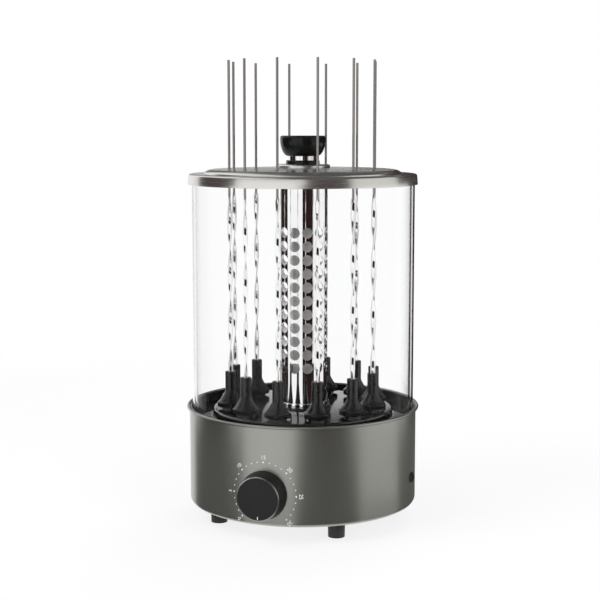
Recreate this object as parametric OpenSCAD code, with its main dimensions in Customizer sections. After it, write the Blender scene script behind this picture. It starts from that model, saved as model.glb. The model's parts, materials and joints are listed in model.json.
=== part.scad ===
// Electric skewer grill: a round drive base with a drip tray, twelve skewers that turn in
// place round an upright heater, a glass cylinder and a pressed lid.
// +Z is up, the table is z = 0 and the timer knob faces -Y. The origin is the centre of the
// footprint, so the machine's own axis stands a little behind it. Sizes are in millimetres.

/* [Base] */
// Outer radius of the pressed steel wall
base_r = 114.7; // [112:0.1:140]
// Thickness of the pressed steel wall
base_wall = 1.2; // [0.8:0.1:1.6]
// Height of the wall, from its lower edge to its upper edge
base_h = 96.5; // [90:0.5:125]
// Radius of the wall's rounded lower corner
base_corner = 5; // [3:0.5:7]
// Width of the flange that turns in under the base plate
base_flange = 9; // [8:0.5:14]
// Radius of the rolled bead round the wall's upper edge
bead_r = 1.4; // [1:0.1:2]
// Thickness of the base plate
plate_t = 1.5; // [1:0.1:2.5]

/* [Feet] */
// Height that the feet lift the wall off the table
foot_lift = 16.5; // [12:0.5:22]
// Diameter of a foot at its upper end
foot_d = 17.2; // [14:0.2:20]
// Diameter of a foot at the table
foot_tip_d = 16.2; // [12:0.2:19]
// Distance from the machine's axis to each foot
foot_place_r = 90; // [80:1:92]
// Turn of the four feet from the diagonals, seen from above
foot_turn = -4.7; // [-8:0.1:8]

/* [Drip tray] */
// Thickness of the tray's sheet
tray_t = 1; // [0.8:0.1:1.4]
// Radius of the raised middle of the tray
plateau_r = 90.8; // [90:0.1:94]
// Height of the raised middle above the channel round it
plateau_rise = 7.8; // [6:0.2:9]
// Depth of the channel under the wall's upper edge
channel_depth = 8.8; // [7.6:0.1:12]
// Radius of the raised hole under each shield
tray_hole_r = 8; // [6.5:0.1:9]
// Height of the rim round each of those holes
tray_hole_rim = 3.6; // [2:0.2:4.4]
// Height of the boss that carries the guard and the heater
boss_rise = 1.9; // [1:0.1:3]

/* [Glass] */
// Thickness of the glass
glass_t = 3; // [2.5:0.1:4]
// Height of the glass cylinder
glass_h = 242.3; // [200:0.1:292]

/* [Lid] */
// Thickness of the lid's sheet
lid_t = 1.2; // [0.8:0.1:1.6]
// Radial gap between the glass and the upper end of the lid's band
lid_gap = 0.9; // [0.6:0.1:2]
// Height of the band that hangs round the glass
lid_band_h = 10.4; // [8:0.2:16]
// Distance that the band flares out over its height
lid_flare = 0.9; // [0:0.1:1.6]
// Radius of the lid's raised dome
dome_r = 98.5; // [92:0.1:104]
// Height of the dome's shoulder above the ledge
dome_rise = 4.3; // [4:0.1:8]
// Further rise of the dome from its shoulder to the handle
dome_crown = 2; // [0.5:0.1:5]
// Diameter of each skewer's hole in the lid
lid_hole_d = 6.6; // [6:0.1:8]

/* [Handle] */
// Radius of the chromed disc under the handle
escutcheon_r = 27.3; // [22:0.1:32]
// Thickness of the chromed disc
escutcheon_t = 2.8; // [2:0.1:4]
// Radius of the handle's foot
handle_foot_r = 16.8; // [15:0.1:20]
// Thickness of the handle's foot
handle_foot_t = 4.2; // [3:0.1:6]
// Outer radius of the chromed band round the handle's waist
waist_r = 14.5; // [12:0.1:16]
// Height of the chromed band
waist_h = 4.1; // [3:0.1:6]
// Largest radius of the handle's bowl
bowl_r = 22.7; // [18:0.1:28]
// Height of the bowl
bowl_h = 20.3; // [16:0.1:28]

/* [Heater] */
// Outer radius of the perforated guard
guard_r = 24.8; // [22:0.1:26]
// Thickness of the guard's sheet
guard_t = 0.8; // [0.6:0.1:1.2]
// Height of the guard
guard_h = 226; // [200:1:228]
// Diameter of the guard's holes
guard_hole_d = 10; // [6:0.1:11]
// Rows of holes
guard_rows = 11; // [6:1:12]
// Columns of holes round the guard, one of them over the knob
guard_columns = 12; // [6:2:12]
// Distance from one row to the next
guard_pitch = 13.57; // [12:0.01:16]
// Height of the lowest row's centre above the tray's raised middle
guard_first_row = 42; // [20:0.5:50]
// Radius of the quartz heater tube
heater_r = 10; // [5:0.1:12]
// Height of the heater's ceramic base above the boss
heater_base_h = 8; // [5:0.5:12]

/* [Skewers] */
// Number of skewers
skewers = 12; // [12]
// Length of a skewer
skewer_l = 324.3; // [300:0.1:400]
// Diameter of the round upper part
rod_d = 2.5; // [2:0.1:3]
// Length of the round upper part
rod_l = 131; // [110:1:150]
// Width of the twisted strip
strip_w = 5; // [4:0.1:5.4]
// Thickness of the twisted strip
strip_t = 1.3; // [1:0.1:2]
// Height in which the strip makes one full turn
twist_pitch = 100; // [60:1:160]
// Turn of the strip, from the radius, where it enters its seat
strip_turn = 0; // [-90:1:90]

/* [Shields] */
// Gap between the tray's raised middle and the shields
shield_lift = 2.6; // [2:0.1:4]
// Radius of the shield's skirt
shield_r = 13.2; // [12:0.1:15]
// Thickness of the shield's skirt
shield_wall = 1.2; // [0.8:0.1:2]
// Height of the skirt's upright edge
shield_edge = 4.4; // [3:0.1:6]
// Height of the shield's cone
shield_cone = 10.5; // [8:0.1:14]
// Radius of the shield's neck
neck_r = 5.4; // [4.8:0.1:6.2]
// Height of the neck
neck_h = 20.5; // [16:0.5:26]
// How far the cone's side is drawn in at its middle
cone_hollow = 0.9; // [0:0.1:1.4]
// Depth of the slot that takes the skewer
seat_depth = 15.7; // [12:0.1:17]

/* [Drive] */
// Module of the sun and planet gears, pitch diameter over teeth
gear_m = 2; // [2]
// Teeth of the sun gear, a multiple of twelve
sun_teeth = 60; // [60]
// Teeth of each planet gear
planet_teeth = 14; // [14]
// Module of the motor's gears
drive_m = 1.25; // [1.25]
// Teeth of the drive ring under the sun gear
drive_teeth = 46; // [46]
// Teeth of the motor's pinion
pinion_teeth = 14; // [14]
// Thickness of the gears
gear_t = 6.5; // [5:0.1:7]
// Radius of the spindle shafts
shaft_r = 3; // [2.5:0.1:3.4]
// Height of the gears' upper faces under the tray's channel
gear_drop = 2.2; // [1:0.1:4]
// Thickness of the gear deck
deck_t = 2.5; // [2:0.1:4]
// Outer radius of the deck
deck_r = 98; // [96:0.5:104]
// Outer radius of the deck's middle pillar
pillar_r = 11; // [10:0.1:14]
// Thickness of the pillar's wall
pillar_wall = 3; // [2:0.1:4]
// Radius of the motor's can
motor_r = 25; // [20:0.5:28]
// Height of the motor's can
motor_h = 18; // [14:0.5:24]

/* [Timer] */
// Height of the knob's centre above the table
knob_z = 47.4; // [44:0.1:60]
// Radius of the knob at its rear edge
knob_r = 23.6; // [18:0.1:25]
// Radius of the knob's front face
knob_face_r = 21.4; // [16:0.1:24]
// Length of the knob
knob_l = 15.4; // [12:0.1:20]
// Gap between the wall and the knob
knob_gap = 0.9; // [0.6:0.1:2]
// Radius of the timer's shaft
timer_shaft_r = 3; // [2.5:0.1:3.5]
// Width and height of the timer's case
timer_case = 42; // [36:1:46]
// Depth of the timer's case
timer_depth = 24; // [18:1:28]

/* [Cord gland] */
// Radius of the bore for the lead
gland_bore_r = 3; // [2.5:0.1:3.4]
// Radius of the gland's outer flange
gland_r = 5.3; // [5:0.1:7]
// Height of the gland above the table
gland_z = 46.6; // [40:0.1:60]

/* [Hidden] */
station_names = [for (k = [1:skewers]) str(k)];

$fn = 96;
fine = 48;              // segments of small round parts
joint_gap = 0.4;        // running gap of the spindles and the sun gear
fit_gap = 0.2;          // gap of parts that are pushed together and stay
rest_gap = 0.3;         // gap where a loose part lies on its seat
seat_web = 5;           // material between a skewer's seat and its spindle's socket
eps = 0.01;             // overlap of shapes that are cut or joined
past = 1;               // how far a cutting shape runs past the face it cuts

station_r = (sun_teeth + planet_teeth) * gear_m / 2;
station_step = 360 / skewers;

// Levels of the base, upwards
flange_top = foot_lift + base_wall;
plate_top = flange_top + plate_t;
wall_top = foot_lift + base_h;
base_bore_r = base_r - base_wall;
bead_mid_r = base_r + bead_r;
bead_z = wall_top + bead_r / 2 - 0.2;
rim_r = bead_mid_r + bead_r;

// Levels of the tray and the drive, downwards from the wall's upper edge
channel_top = wall_top - channel_depth;
channel_under = channel_top - tray_t;
plateau_top = channel_top + plateau_rise;
tray_side_r = base_bore_r - rest_gap;
tray_bore_r = tray_side_r - tray_t;
gear_top = channel_under - gear_drop;
gear_under = gear_top - gear_t;
drive_under = gear_under - gear_t;
bush_top = gear_under - joint_gap;
deck_top = drive_under - joint_gap - 0.6;
deck_under = deck_top - deck_t;
sun_bore_r = pillar_r + 2;
pillar_bore_r = pillar_r - pillar_wall;
drive_r = drive_teeth * drive_m / 2;

// Levels of the shields and the skewers
shield_under = plateau_top + shield_lift;
shield_shoulder = shield_under + shield_edge;
neck_under = shield_shoulder + shield_cone;
neck_top = neck_under + neck_h;
seat_floor = neck_top - seat_depth;
socket_top = seat_floor - seat_web;
skewer_foot = seat_floor + rest_gap;
skewer_top = skewer_foot + skewer_l;
strip_foot = neck_top + 1;
rod_foot = skewer_top - rod_l;

// Levels of the heater, the glass, the lid and its handle
boss_r = guard_r + 3;
boss_top = plateau_top + boss_rise;
guard_foot = boss_top;
guard_top = guard_foot + guard_h;
heater_foot = guard_foot + heater_base_h;
glass_r = tray_bore_r - joint_gap;
glass_top = channel_top + glass_h;
lid_r = glass_r + lid_gap + lid_flare + lid_t;
ledge_top = glass_top + lid_t;
band_foot = ledge_top - lid_band_h;
shoulder_top = ledge_top + dome_rise;
dome_top = shoulder_top + dome_crown;
escutcheon_top = dome_top + escutcheon_t;
waist_foot = escutcheon_top + handle_foot_t;
bowl_foot = waist_foot + waist_h;
bowl_top = bowl_foot + bowl_h;

// Places of the timer, the motor and the footprint
timer_neck_r = timer_shaft_r + 2;
knob_back = base_r + knob_gap;
knob_front = knob_back + knob_l;
axis_y = (knob_front - rim_r) / 2;
motor_place_r = drive_r + pinion_teeth * drive_m / 2;

// ---- Helpers ----

// Moves a shape from the footprint's centre to the machine's axis
module on_axis() {
    translate([0, axis_y, 0]) children();
}

// Puts a shape at station k, turned so that its own +X points away from the machine's axis
module at_station(k) {
    on_axis() rotate([0, 0, k * station_step]) translate([station_r, 0, 0]) children();
}

// Puts a shape at each foot
module at_feet() {
    for (i = [0:3])
        rotate([0, 0, 45 + foot_turn + i * 90]) translate([foot_place_r, 0, 0]) children();
}

// Turns a shape drawn upwards so that it points out of the wall at the knob
module facing_front(height) {
    on_axis() translate([0, 0, height]) rotate([90, 0, 0]) children();
}

// Ring about the Z axis between two radii and two heights
module ring(r_out, r_in, low, high) {
    translate([0, 0, low]) difference() {
        cylinder(r = r_out, h = high - low);
        translate([0, 0, -past]) cylinder(r = r_in, h = high - low + 2 * past);
    }
}

function polar(r, a) = [r * cos(a), r * sin(a)];

// Points of an arc about a centre, between two angles
function arc(centre, r, from, to, steps = 10) =
    [for (i = [0:steps]) centre + polar(r, from + (to - from) * i / steps)];

// Angle, in degrees, that an involute has turned through at radius r from its base circle
function involute(r, base) = sqrt(pow(r / base, 2) - 1) * 180 / PI - acos(base / r);

// Outline of a spur gear with stub teeth and a tooth on +X
pressure_angle = 20;
addendum = 0.75;
dedendum = 1.1;
backlash = 0.5;
flank_steps = 4;
function gear_outline(teeth, m) =
    let (pitch = teeth * m / 2, base = pitch * cos(pressure_angle), tip = pitch + addendum * m,
         root = pitch - dedendum * m, start = max(base + eps, root),
         half = 90 / teeth - backlash / 4 / pitch * 180 / PI + involute(pitch, base),
         flank = [for (i = [0:flank_steps]) start + (tip - start) * i / flank_steps],
         side = concat([[root, half]], [for (r = flank) [r, half - involute(r, base)]]))
    [for (t = [0:teeth - 1]) each concat(
        [for (p = side) polar(p[0], t * 360 / teeth - p[1])],
        [for (i = [len(side) - 1:-1:0]) polar(side[i][0], t * 360 / teeth + side[i][1])])];

// Regular outline with flats whose middles lie at radius r
function flats(r, sides) =
    [for (i = [0:sides - 1]) polar(r / cos(180 / sides), (i + 0.5) * 360 / sides)];

// ---- Base ----

// Turned-in flange, rounded corner, upright wall and the bead rolled round its upper edge
module base_profile() {
    corner_mid = [base_r - base_corner, foot_lift + base_corner];
    polygon(concat(
        [[base_r - base_flange, foot_lift]],
        arc(corner_mid, base_corner, -90, 0),
        [[base_r, wall_top - bead_r]],
        arc([bead_mid_r, bead_z], bead_r, -135, 180 + asin((bead_z - wall_top) / bead_r), 24),
        [[base_bore_r, wall_top]],
        arc(corner_mid, base_corner - base_wall, 0, -90),
        [[base_r - base_flange, flange_top]]));
}

module base_shell() {
    color([0.36, 0.35, 0.33]) difference() {
        on_axis() rotate_extrude() base_profile();
        facing_front(knob_z) translate([0, 0, base_r - 8])
            cylinder(r = timer_neck_r + fit_gap, h = 16, $fn = fine);
        on_axis() translate([base_r - 8, 0, gland_z]) rotate([0, 90, 0])
            cylinder(r = gland_neck_r + fit_gap, h = 16, $fn = fine);
    }
}

vents = 16;
vent_w = 4;
vent_l = 22;
module base_plate() {
    color([0.6, 0.6, 0.6]) on_axis() difference() {
        ring(base_r - base_corner - fit_gap, 8, flange_top, plate_top);
        for (i = [0:vents - 1])
            rotate([0, 0, i * 360 / vents]) translate([45, 0, flange_top - past])
                slot(vent_l, vent_w, plate_t + 2 * past);
        at_feet() translate([0, 0, flange_top - past])
            cylinder(r = screw_r + fit_gap, h = plate_t + 2 * past, $fn = fine);
    }
}

// Slot with round ends that runs outwards from the origin along +X
module slot(length, width, depth) {
    for (x = [width / 2, length - width / 2])
        translate([x, 0, 0]) cylinder(d = width, h = depth, $fn = fine);
    translate([width / 2, -width / 2, 0]) cube([length - width, width, depth]);
}

screw_r = 2;
screw_head_r = 3.8;
screw_head_h = 2.6;
screw_slot_w = 1;
screw_slot_d = 1.4;
screw_grip = 12;        // length of screw inside the deck's leg
foot_recess = 9;        // depth of the pocket that hides the screw's head
module feet() {
    color([0.05, 0.05, 0.05]) on_axis() at_feet() difference() {
        cylinder(d1 = foot_tip_d, d2 = foot_d, h = flange_top, $fn = fine);
        translate([0, 0, -past])
            cylinder(r = screw_head_r + 0.8, h = foot_recess + past, $fn = fine);
        cylinder(r = screw_r + fit_gap, h = flange_top + past, $fn = fine);
    }
}

module foot_screws() {
    color([0.75, 0.75, 0.75]) on_axis() at_feet() difference() {
        union() {
            translate([0, 0, foot_recess - screw_head_h])
                cylinder(r1 = screw_head_r - 0.5, r2 = screw_head_r, h = screw_head_h, $fn = fine);
            translate([0, 0, foot_recess - eps])
                cylinder(r = screw_r, h = plate_top + screw_grip - foot_recess, $fn = fine);
        }
        for (a = [0, 90]) rotate([0, 0, a])
            translate([-screw_r, -screw_slot_w / 2, foot_recess - screw_head_h - past])
                cube([2 * screw_r, screw_slot_w, screw_slot_d + past]);
    }
}

// ---- Drip tray ----

tray_centre_r = pillar_bore_r + fit_gap;
// Pressed sheet, drawn along its upper face and back along its lower one: lip, side, channel,
// raised middle with a rounded edge, and the boss that carries the heater
module tray_profile() {
    lip_r = tray_t + 0.2;
    floor_r = 0.5;
    root_r = 1.2;
    corner = 2.4;
    step = (boss_top - plateau_top) / 2;
    lip_mid = [tray_bore_r + lip_r, wall_top + tray_t - lip_r];
    floor_mid = [tray_bore_r - floor_r, channel_top + floor_r];
    root_mid = [plateau_r + root_r, channel_top + root_r];
    edge_mid = [plateau_r - corner, plateau_top - corner];
    polygon(concat(
        [[base_r - fit_gap, wall_top + tray_t]],
        arc(lip_mid, lip_r, 90, 180, 6),
        arc(floor_mid, floor_r, 0, -90, 4),
        arc(root_mid, root_r, -90, -180, 5),
        arc(edge_mid, corner, 0, 90, 6),
        arc([boss_r + step, plateau_top + step], step, -90, -180, 4),
        arc([boss_r - step, boss_top - step], step, 0, 90, 4),
        [[tray_centre_r, boss_top], [tray_centre_r, boss_top - tray_t],
         [boss_r - tray_t, boss_top - tray_t], [boss_r - tray_t, plateau_top - tray_t]],
        arc(edge_mid, corner - tray_t, 90, 0, 6),
        arc(root_mid, root_r + tray_t, -180, -90, 5),
        arc(floor_mid, floor_r + tray_t, -90, 0, 4),
        arc(lip_mid, lip_r - tray_t, 180, 90, 6),
        [[base_r - fit_gap, wall_top]]));
}

module drip_tray() {
    color([0.03, 0.03, 0.03]) difference() {
        union() {
            on_axis() rotate_extrude() tray_profile();
            for (k = [0:skewers - 1]) at_station(k)
                translate([0, 0, plateau_top - tray_t])
                    cylinder(r = tray_hole_r + tray_t, h = tray_hole_rim + tray_t, $fn = fine);
        }
        for (k = [0:skewers - 1]) at_station(k)
            translate([0, 0, plateau_top - tray_t - past])
                cylinder(r = tray_hole_r, h = tray_hole_rim + tray_t + 2 * past, $fn = fine);
    }
}

// ---- Gear deck ----

bush_r = 6;
bush_drop = 4;          // how far a bush reaches under the deck
thrust_w = 4;           // width of the collar that the sun gear turns on
leg_r = 5.5;
module gear_deck() {
    color([0.55, 0.5, 0.42]) difference() {
        union() {
            on_axis() {
                ring(deck_r, pillar_bore_r, deck_under, deck_top);
                ring(pillar_r, pillar_bore_r, deck_under, boss_top - tray_t - rest_gap);
                ring(pillar_r + thrust_w, pillar_r - eps, deck_under, drive_under - rest_gap);
                at_feet() translate([0, 0, plate_top])
                    cylinder(r = leg_r, h = deck_under - plate_top + eps, $fn = fine);
            }
            for (k = [0:skewers - 1]) at_station(k)
                translate([0, 0, deck_under - bush_drop])
                    cylinder(r = bush_r, h = bush_top - deck_under + bush_drop, $fn = fine);
        }
        for (k = [0:skewers - 1]) at_station(k)
            translate([0, 0, deck_under - bush_drop - past])
                cylinder(r = shaft_r + joint_gap,
                         h = bush_top - deck_under + bush_drop + 2 * past, $fn = fine);
        on_axis() {
            translate([0, motor_place_r, deck_under - past])
                cylinder(r = motor_boss_r + fit_gap, h = deck_t + 2 * past, $fn = fine);
            at_feet() translate([0, 0, plate_top - past])
                cylinder(r = screw_r + fit_gap / 2, h = screw_grip + 2 * past, $fn = fine);
        }
    }
}

// ---- Gears ----

module sun_gear() {
    windows = 6;
    color([0.85, 0.83, 0.75]) on_axis() {
        difference() {
            union() {
                translate([0, 0, gear_under]) linear_extrude(gear_t)
                    polygon(gear_outline(sun_teeth, gear_m));
                translate([0, 0, drive_under]) rotate([0, 0, 90])
                    linear_extrude(gear_t + eps) polygon(gear_outline(drive_teeth, drive_m));
            }
            translate([0, 0, drive_under - past]) linear_extrude(2 * gear_t + 2 * past)
                polygon(flats(sun_bore_r, 48));
            for (i = [0:windows - 1]) rotate([0, 0, i * 360 / windows])
                translate([0, 0, gear_under - past]) linear_extrude(gear_t + 2 * past)
                    polygon(sun_window());
            // recess under the web, between the hub and the drive ring
            ring(drive_r - 5, sun_bore_r + 3, drive_under - past, gear_under);
        }
        ring(sun_bore_r - fit_gap / 2, pillar_r + joint_gap, drive_under, gear_top);
    }
}

// Window in the sun gear's web, from just outside the drive ring to the toothed rim
function sun_window() =
    let (inner = drive_r + 5, outer = sun_teeth * gear_m / 2 - 8, wide = 22,
         turns = [-1, -0.5, 0, 0.5, 1])
    concat([for (t = turns) polar(outer, t * wide)],
           [for (i = [4:-1:0]) polar(inner, turns[i] * (wide - 3))]);

shaft_foot = deck_under - bush_drop - 1;
module spindle_gear(k) {
    color([0.85, 0.83, 0.75]) at_station(k) {
        translate([0, 0, gear_under]) rotate([0, 0, 180 / planet_teeth])
            linear_extrude(gear_t) difference() {
                polygon(gear_outline(planet_teeth, gear_m));
                polygon(flats(shaft_r + fit_gap / 2, 24));
            }
        translate([0, 0, shaft_foot])
            cylinder(r = shaft_r, h = socket_top - rest_gap - shaft_foot, $fn = fine);
    }
}

motor_boss_r = 7;
motor_shaft_r = 3.5;
pinion_drop = 6;        // length of the pinion's shaft inside the motor
module motor_pinion() {
    color([0.85, 0.83, 0.75]) on_axis() translate([0, motor_place_r, 0]) {
        translate([0, 0, drive_under]) rotate([0, 0, 90 + 180 / pinion_teeth])
            linear_extrude(gear_t - joint_gap) difference() {
                polygon(gear_outline(pinion_teeth, drive_m));
                polygon(flats(motor_shaft_r + fit_gap / 2, 24));
            }
        translate([0, 0, deck_under - pinion_drop])
            cylinder(r = motor_shaft_r, h = gear_under - deck_under + pinion_drop - 1,
                     $fn = fine);
    }
}

module motor_body() {
    ear_r = motor_r + 5;
    ear_w = 10;
    ear_t = 1.2;
    wiring = [22, 12, 8];
    color([0.7, 0.7, 0.72]) on_axis() translate([0, motor_place_r, 0]) difference() {
        union() {
            translate([0, 0, deck_under - motor_h]) cylinder(r = motor_r, h = motor_h);
            translate([0, 0, deck_under - ear_t]) {
                translate([-ear_r, -ear_w / 2, 0]) cube([2 * ear_r, ear_w, ear_t]);
                for (side = [-1, 1]) translate([side * ear_r, 0, 0])
                    cylinder(d = ear_w, h = ear_t, $fn = fine);
            }
            translate([0, 0, deck_under - eps])
                cylinder(r = motor_boss_r, h = deck_t - 0.5, $fn = fine);
            translate([-wiring[0] / 2, 7 - motor_r - wiring[1], deck_under - motor_h + 3])
                cube(wiring);
        }
        translate([0, 0, deck_under - pinion_drop - rest_gap])
            cylinder(r = motor_shaft_r + joint_gap, h = pinion_drop + deck_t + past, $fn = fine);
    }
}

// ---- Shields and skewers ----

stem_r = 5;
// Skirt, hollow cone and neck, then back down inside round the stem that takes the spindle
module shield_profile() {
    foot = [shield_r - 1, shield_shoulder];
    brow = [neck_r + 0.3, neck_under];
    span = brow - foot;
    inward = [-span[1], span[0]] / norm(span);
    inner_r = shield_r - shield_wall;
    polygon(concat(
        [[0, shield_under + 1.4], [stem_r, shield_under + 1.4],
         [stem_r, shield_shoulder + shield_cone / 2], [inner_r, shield_shoulder - 1.2],
         [inner_r, shield_under]],
        arc([shield_r - 0.4, shield_under + 0.4], 0.4, -90, 0, 2),
        arc([shield_r - 0.9, shield_shoulder - 0.9], 0.9, 0, 60, 3),
        [for (t = [0.1:0.16:0.9]) foot + span * t + inward * cone_hollow * 4 * t * (1 - t)],
        [[neck_r, neck_under + 1.2]],
        arc([neck_r - 0.7, neck_top - 0.7], 0.7, 0, 90, 3),
        [[0, neck_top]]));
}

module shield(k) {
    color([0.02, 0.02, 0.02]) at_station(k) difference() {
        rotate_extrude($fn = fine) shield_profile();
        translate([0, 0, shield_under - past])
            cylinder(r = shaft_r + fit_gap / 2, h = socket_top - shield_under + past, $fn = fine);
        rotate([0, 0, strip_turn])
            translate([-strip_w / 2 - joint_gap, -strip_t / 2 - joint_gap, seat_floor])
                cube([strip_w + 2 * joint_gap, strip_t + 2 * joint_gap, seat_depth + past]);
    }
}

// Flat outline in the XZ plane, as thick as the strip
module flat_piece(outline) {
    rotate([90, 0, 0]) translate([0, 0, -strip_t / 2]) linear_extrude(strip_t) polygon(outline);
}

module skewer(k) {
    point_h = 5;
    taper_h = 7;
    twist_h = rod_foot - taper_h - strip_foot;
    twist = 360 * twist_h / twist_pitch;
    half = strip_w / 2;
    color([0.8, 0.8, 0.8]) at_station(k) rotate([0, 0, strip_turn]) {
        flat_piece([[-0.6, skewer_foot], [0.6, skewer_foot], [half, skewer_foot + point_h],
                    [half, strip_foot + eps], [-half, strip_foot + eps],
                    [-half, skewer_foot + point_h]]);
        translate([0, 0, strip_foot])
            linear_extrude(twist_h, twist = -twist, slices = round(twist / 12), segments = 4)
                square([strip_w, strip_t], center = true);
        rotate([0, 0, twist]) flat_piece([
            [-half, rod_foot - taper_h - eps], [half, rod_foot - taper_h - eps],
            [rod_d / 2 - 0.2, rod_foot + 1], [-rod_d / 2 + 0.2, rod_foot + 1]]);
        translate([0, 0, rod_foot - 1])
            cylinder(d = rod_d, h = skewer_top - rod_foot + 1 - 0.5, $fn = fine);
        translate([0, 0, skewer_top - 0.5 - eps])
            cylinder(d1 = rod_d, d2 = rod_d - 1, h = 0.5 + eps, $fn = fine);
    }
}

// ---- Heater ----

module guard_tube() {
    color([0.85, 0.85, 0.87]) on_axis() difference() {
        union() {
            ring(guard_r, guard_r - guard_t, guard_foot, guard_top);
            ring(guard_r - eps, heater_r + 4, guard_top - guard_t, guard_top);
        }
        for (row = [0:guard_rows - 1], column = [0:guard_columns - 1])
            rotate([0, 0, -90 + column * 360 / guard_columns])
                translate([guard_r - guard_t - past, 0,
                           plateau_top + guard_first_row + row * guard_pitch])
                    rotate([0, 90, 0])
                        cylinder(d = guard_hole_d, h = guard_t + 2 * past, $fn = fine);
    }
}

module guard_collar() {
    wall = 1.7;
    color([0.8, 0.8, 0.82]) on_axis()
        ring(guard_r + fit_gap + wall, guard_r + fit_gap, boss_top, boss_top + 4.4);
}

module heater_tube() {
    cap_h = 9;
    top = guard_top - 6;
    color([0.8, 0.8, 0.78]) on_axis() {
        translate([0, 0, heater_foot]) cylinder(r = heater_r, h = top - heater_foot);
        for (low = [heater_foot, top - cap_h])
            translate([0, 0, low]) cylinder(r = heater_r + 2, h = cap_h);
    }
}

module heater_base() {
    flange_h = 3;
    color([0.9, 0.88, 0.82]) on_axis() {
        translate([0, 0, deck_under])
            cylinder(r = pillar_bore_r - fit_gap, h = guard_foot + eps - deck_under);
        translate([0, 0, guard_foot])
            cylinder(r = guard_r - guard_t - fit_gap, h = flange_h);
        translate([0, 0, guard_foot]) cylinder(r = heater_r + 4, h = heater_foot - guard_foot);
    }
}

// ---- Glass, lid and handle ----

module glass_cylinder() {
    edge = 0.4;
    bore = glass_r - glass_t;
    color([0.8, 0.9, 0.9, 0.35]) on_axis() rotate_extrude()
        polygon([[bore + edge, channel_top], [glass_r - edge, channel_top],
                 [glass_r, channel_top + edge], [glass_r, glass_top - edge],
                 [glass_r - edge, glass_top], [bore + edge, glass_top],
                 [bore, glass_top - edge], [bore, channel_top + edge]]);
}

// Pressed sheet: a flared band, a rounded corner, a ledge and a shouldered, rising dome
module lid_profile() {
    corner = 1 + lid_t;
    hole = screw_r + fit_gap;
    top_r = lid_r - lid_flare;
    shoulder_r = dome_r - dome_rise;
    corner_mid = [top_r - corner, ledge_top - corner];
    shoulder_mid = [shoulder_r, ledge_top];
    polygon(concat(
        [[lid_r, band_foot]],
        arc(corner_mid, corner, 0, 90),
        [[dome_r, ledge_top]],
        arc(shoulder_mid, dome_rise, 0, 90),
        [[escutcheon_r, dome_top], [hole, dome_top], [hole, dome_top - lid_t],
         [escutcheon_r, dome_top - lid_t]],
        arc(shoulder_mid, dome_rise - lid_t, 90, 0),
        [[dome_r - lid_t, ledge_top - lid_t]],
        arc(corner_mid, corner - lid_t, 90, 0),
        [[lid_r - lid_t, band_foot]]));
}

module lid_plate() {
    color([0.45, 0.43, 0.38]) difference() {
        on_axis() rotate_extrude() lid_profile();
        for (k = [0:skewers - 1]) at_station(k)
            translate([0, 0, ledge_top]) cylinder(d = lid_hole_d, h = 2 * dome_rise, $fn = fine);
    }
}

module lid_escutcheon() {
    edge = 1;
    color([0.85, 0.85, 0.87]) on_axis() rotate_extrude()
        polygon([[screw_r + fit_gap, dome_top], [escutcheon_r, dome_top],
                 [escutcheon_r, escutcheon_top - edge], [escutcheon_r - edge, escutcheon_top],
                 [screw_r + fit_gap, escutcheon_top]]);
}

handle_screw_l = 13;    // length of the screw inside the handle
// Black moulding: a foot, a waist under the chromed band, and a bowl that swells to its rim
module handle_profile() {
    core_r = waist_r - 1;
    edge = 2.4;
    rim_z = bowl_top - 3.9;
    sweep = rim_z - bowl_foot;
    difference() {
        union() {
            translate([0, escutcheon_top]) square([handle_foot_r, handle_foot_t]);
            translate([0, waist_foot - eps]) square([core_r, waist_h + 2 * eps]);
            polygon(concat([[0, bowl_foot], [waist_r, bowl_foot]],
                [for (a = [9:9:90]) [waist_r + (bowl_r - waist_r) * sin(a),
                                     bowl_foot + sweep * (1 - cos(a))]],
                arc([bowl_r - edge, bowl_top - edge], edge, 0, 90, 6),
                [[0, bowl_top - 1.2]]));
        }
        translate([0, escutcheon_top - past])
            square([screw_r + fit_gap / 2, handle_screw_l + 1 + past]);
    }
}

module handle_knob() {
    color([0.03, 0.03, 0.03]) on_axis() rotate_extrude() handle_profile();
}

module handle_band() {
    color([0.85, 0.85, 0.87]) on_axis()
        ring(waist_r, waist_r - 1 + fit_gap / 2, waist_foot + eps, bowl_foot - eps);
}

module handle_screw() {
    under = dome_top - lid_t;
    color([0.75, 0.75, 0.75]) on_axis() {
        translate([0, 0, under - screw_head_h])
            cylinder(r1 = screw_head_r, r2 = screw_head_r + 1, h = screw_head_h, $fn = fine);
        translate([0, 0, under - eps])
            cylinder(r = screw_r, h = escutcheon_top + handle_screw_l - under, $fn = fine);
    }
}

// ---- Timer ----

timer_face = base_bore_r - 4;
timer_shaft_in = 16;    // length of the shaft inside the case
module timer_body() {
    color([0.75, 0.75, 0.75]) facing_front(knob_z) difference() {
        union() {
            translate([-timer_case / 2, -timer_case / 2, timer_face - timer_depth])
                cube([timer_case, timer_case, timer_depth]);
            translate([0, 0, timer_face - eps])
                cylinder(r = timer_neck_r, h = base_r + 4 - timer_face, $fn = fine);
            translate([0, 0, base_r + rest_gap]) cylinder(r = 8, h = 2.4, $fn = 6);
        }
        translate([0, 0, timer_face - timer_shaft_in])
            cylinder(r = timer_shaft_r + rest_gap, h = knob_front - timer_face + timer_shaft_in,
                     $fn = fine);
    }
}

module timer_shaft() {
    color([0.8, 0.75, 0.6]) facing_front(knob_z)
        translate([0, 0, timer_face - timer_shaft_in + rest_gap])
            cylinder(r = timer_shaft_r, $fn = fine,
                     h = knob_front - knob_skin - 1 - timer_face + timer_shaft_in - rest_gap);
}

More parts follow.
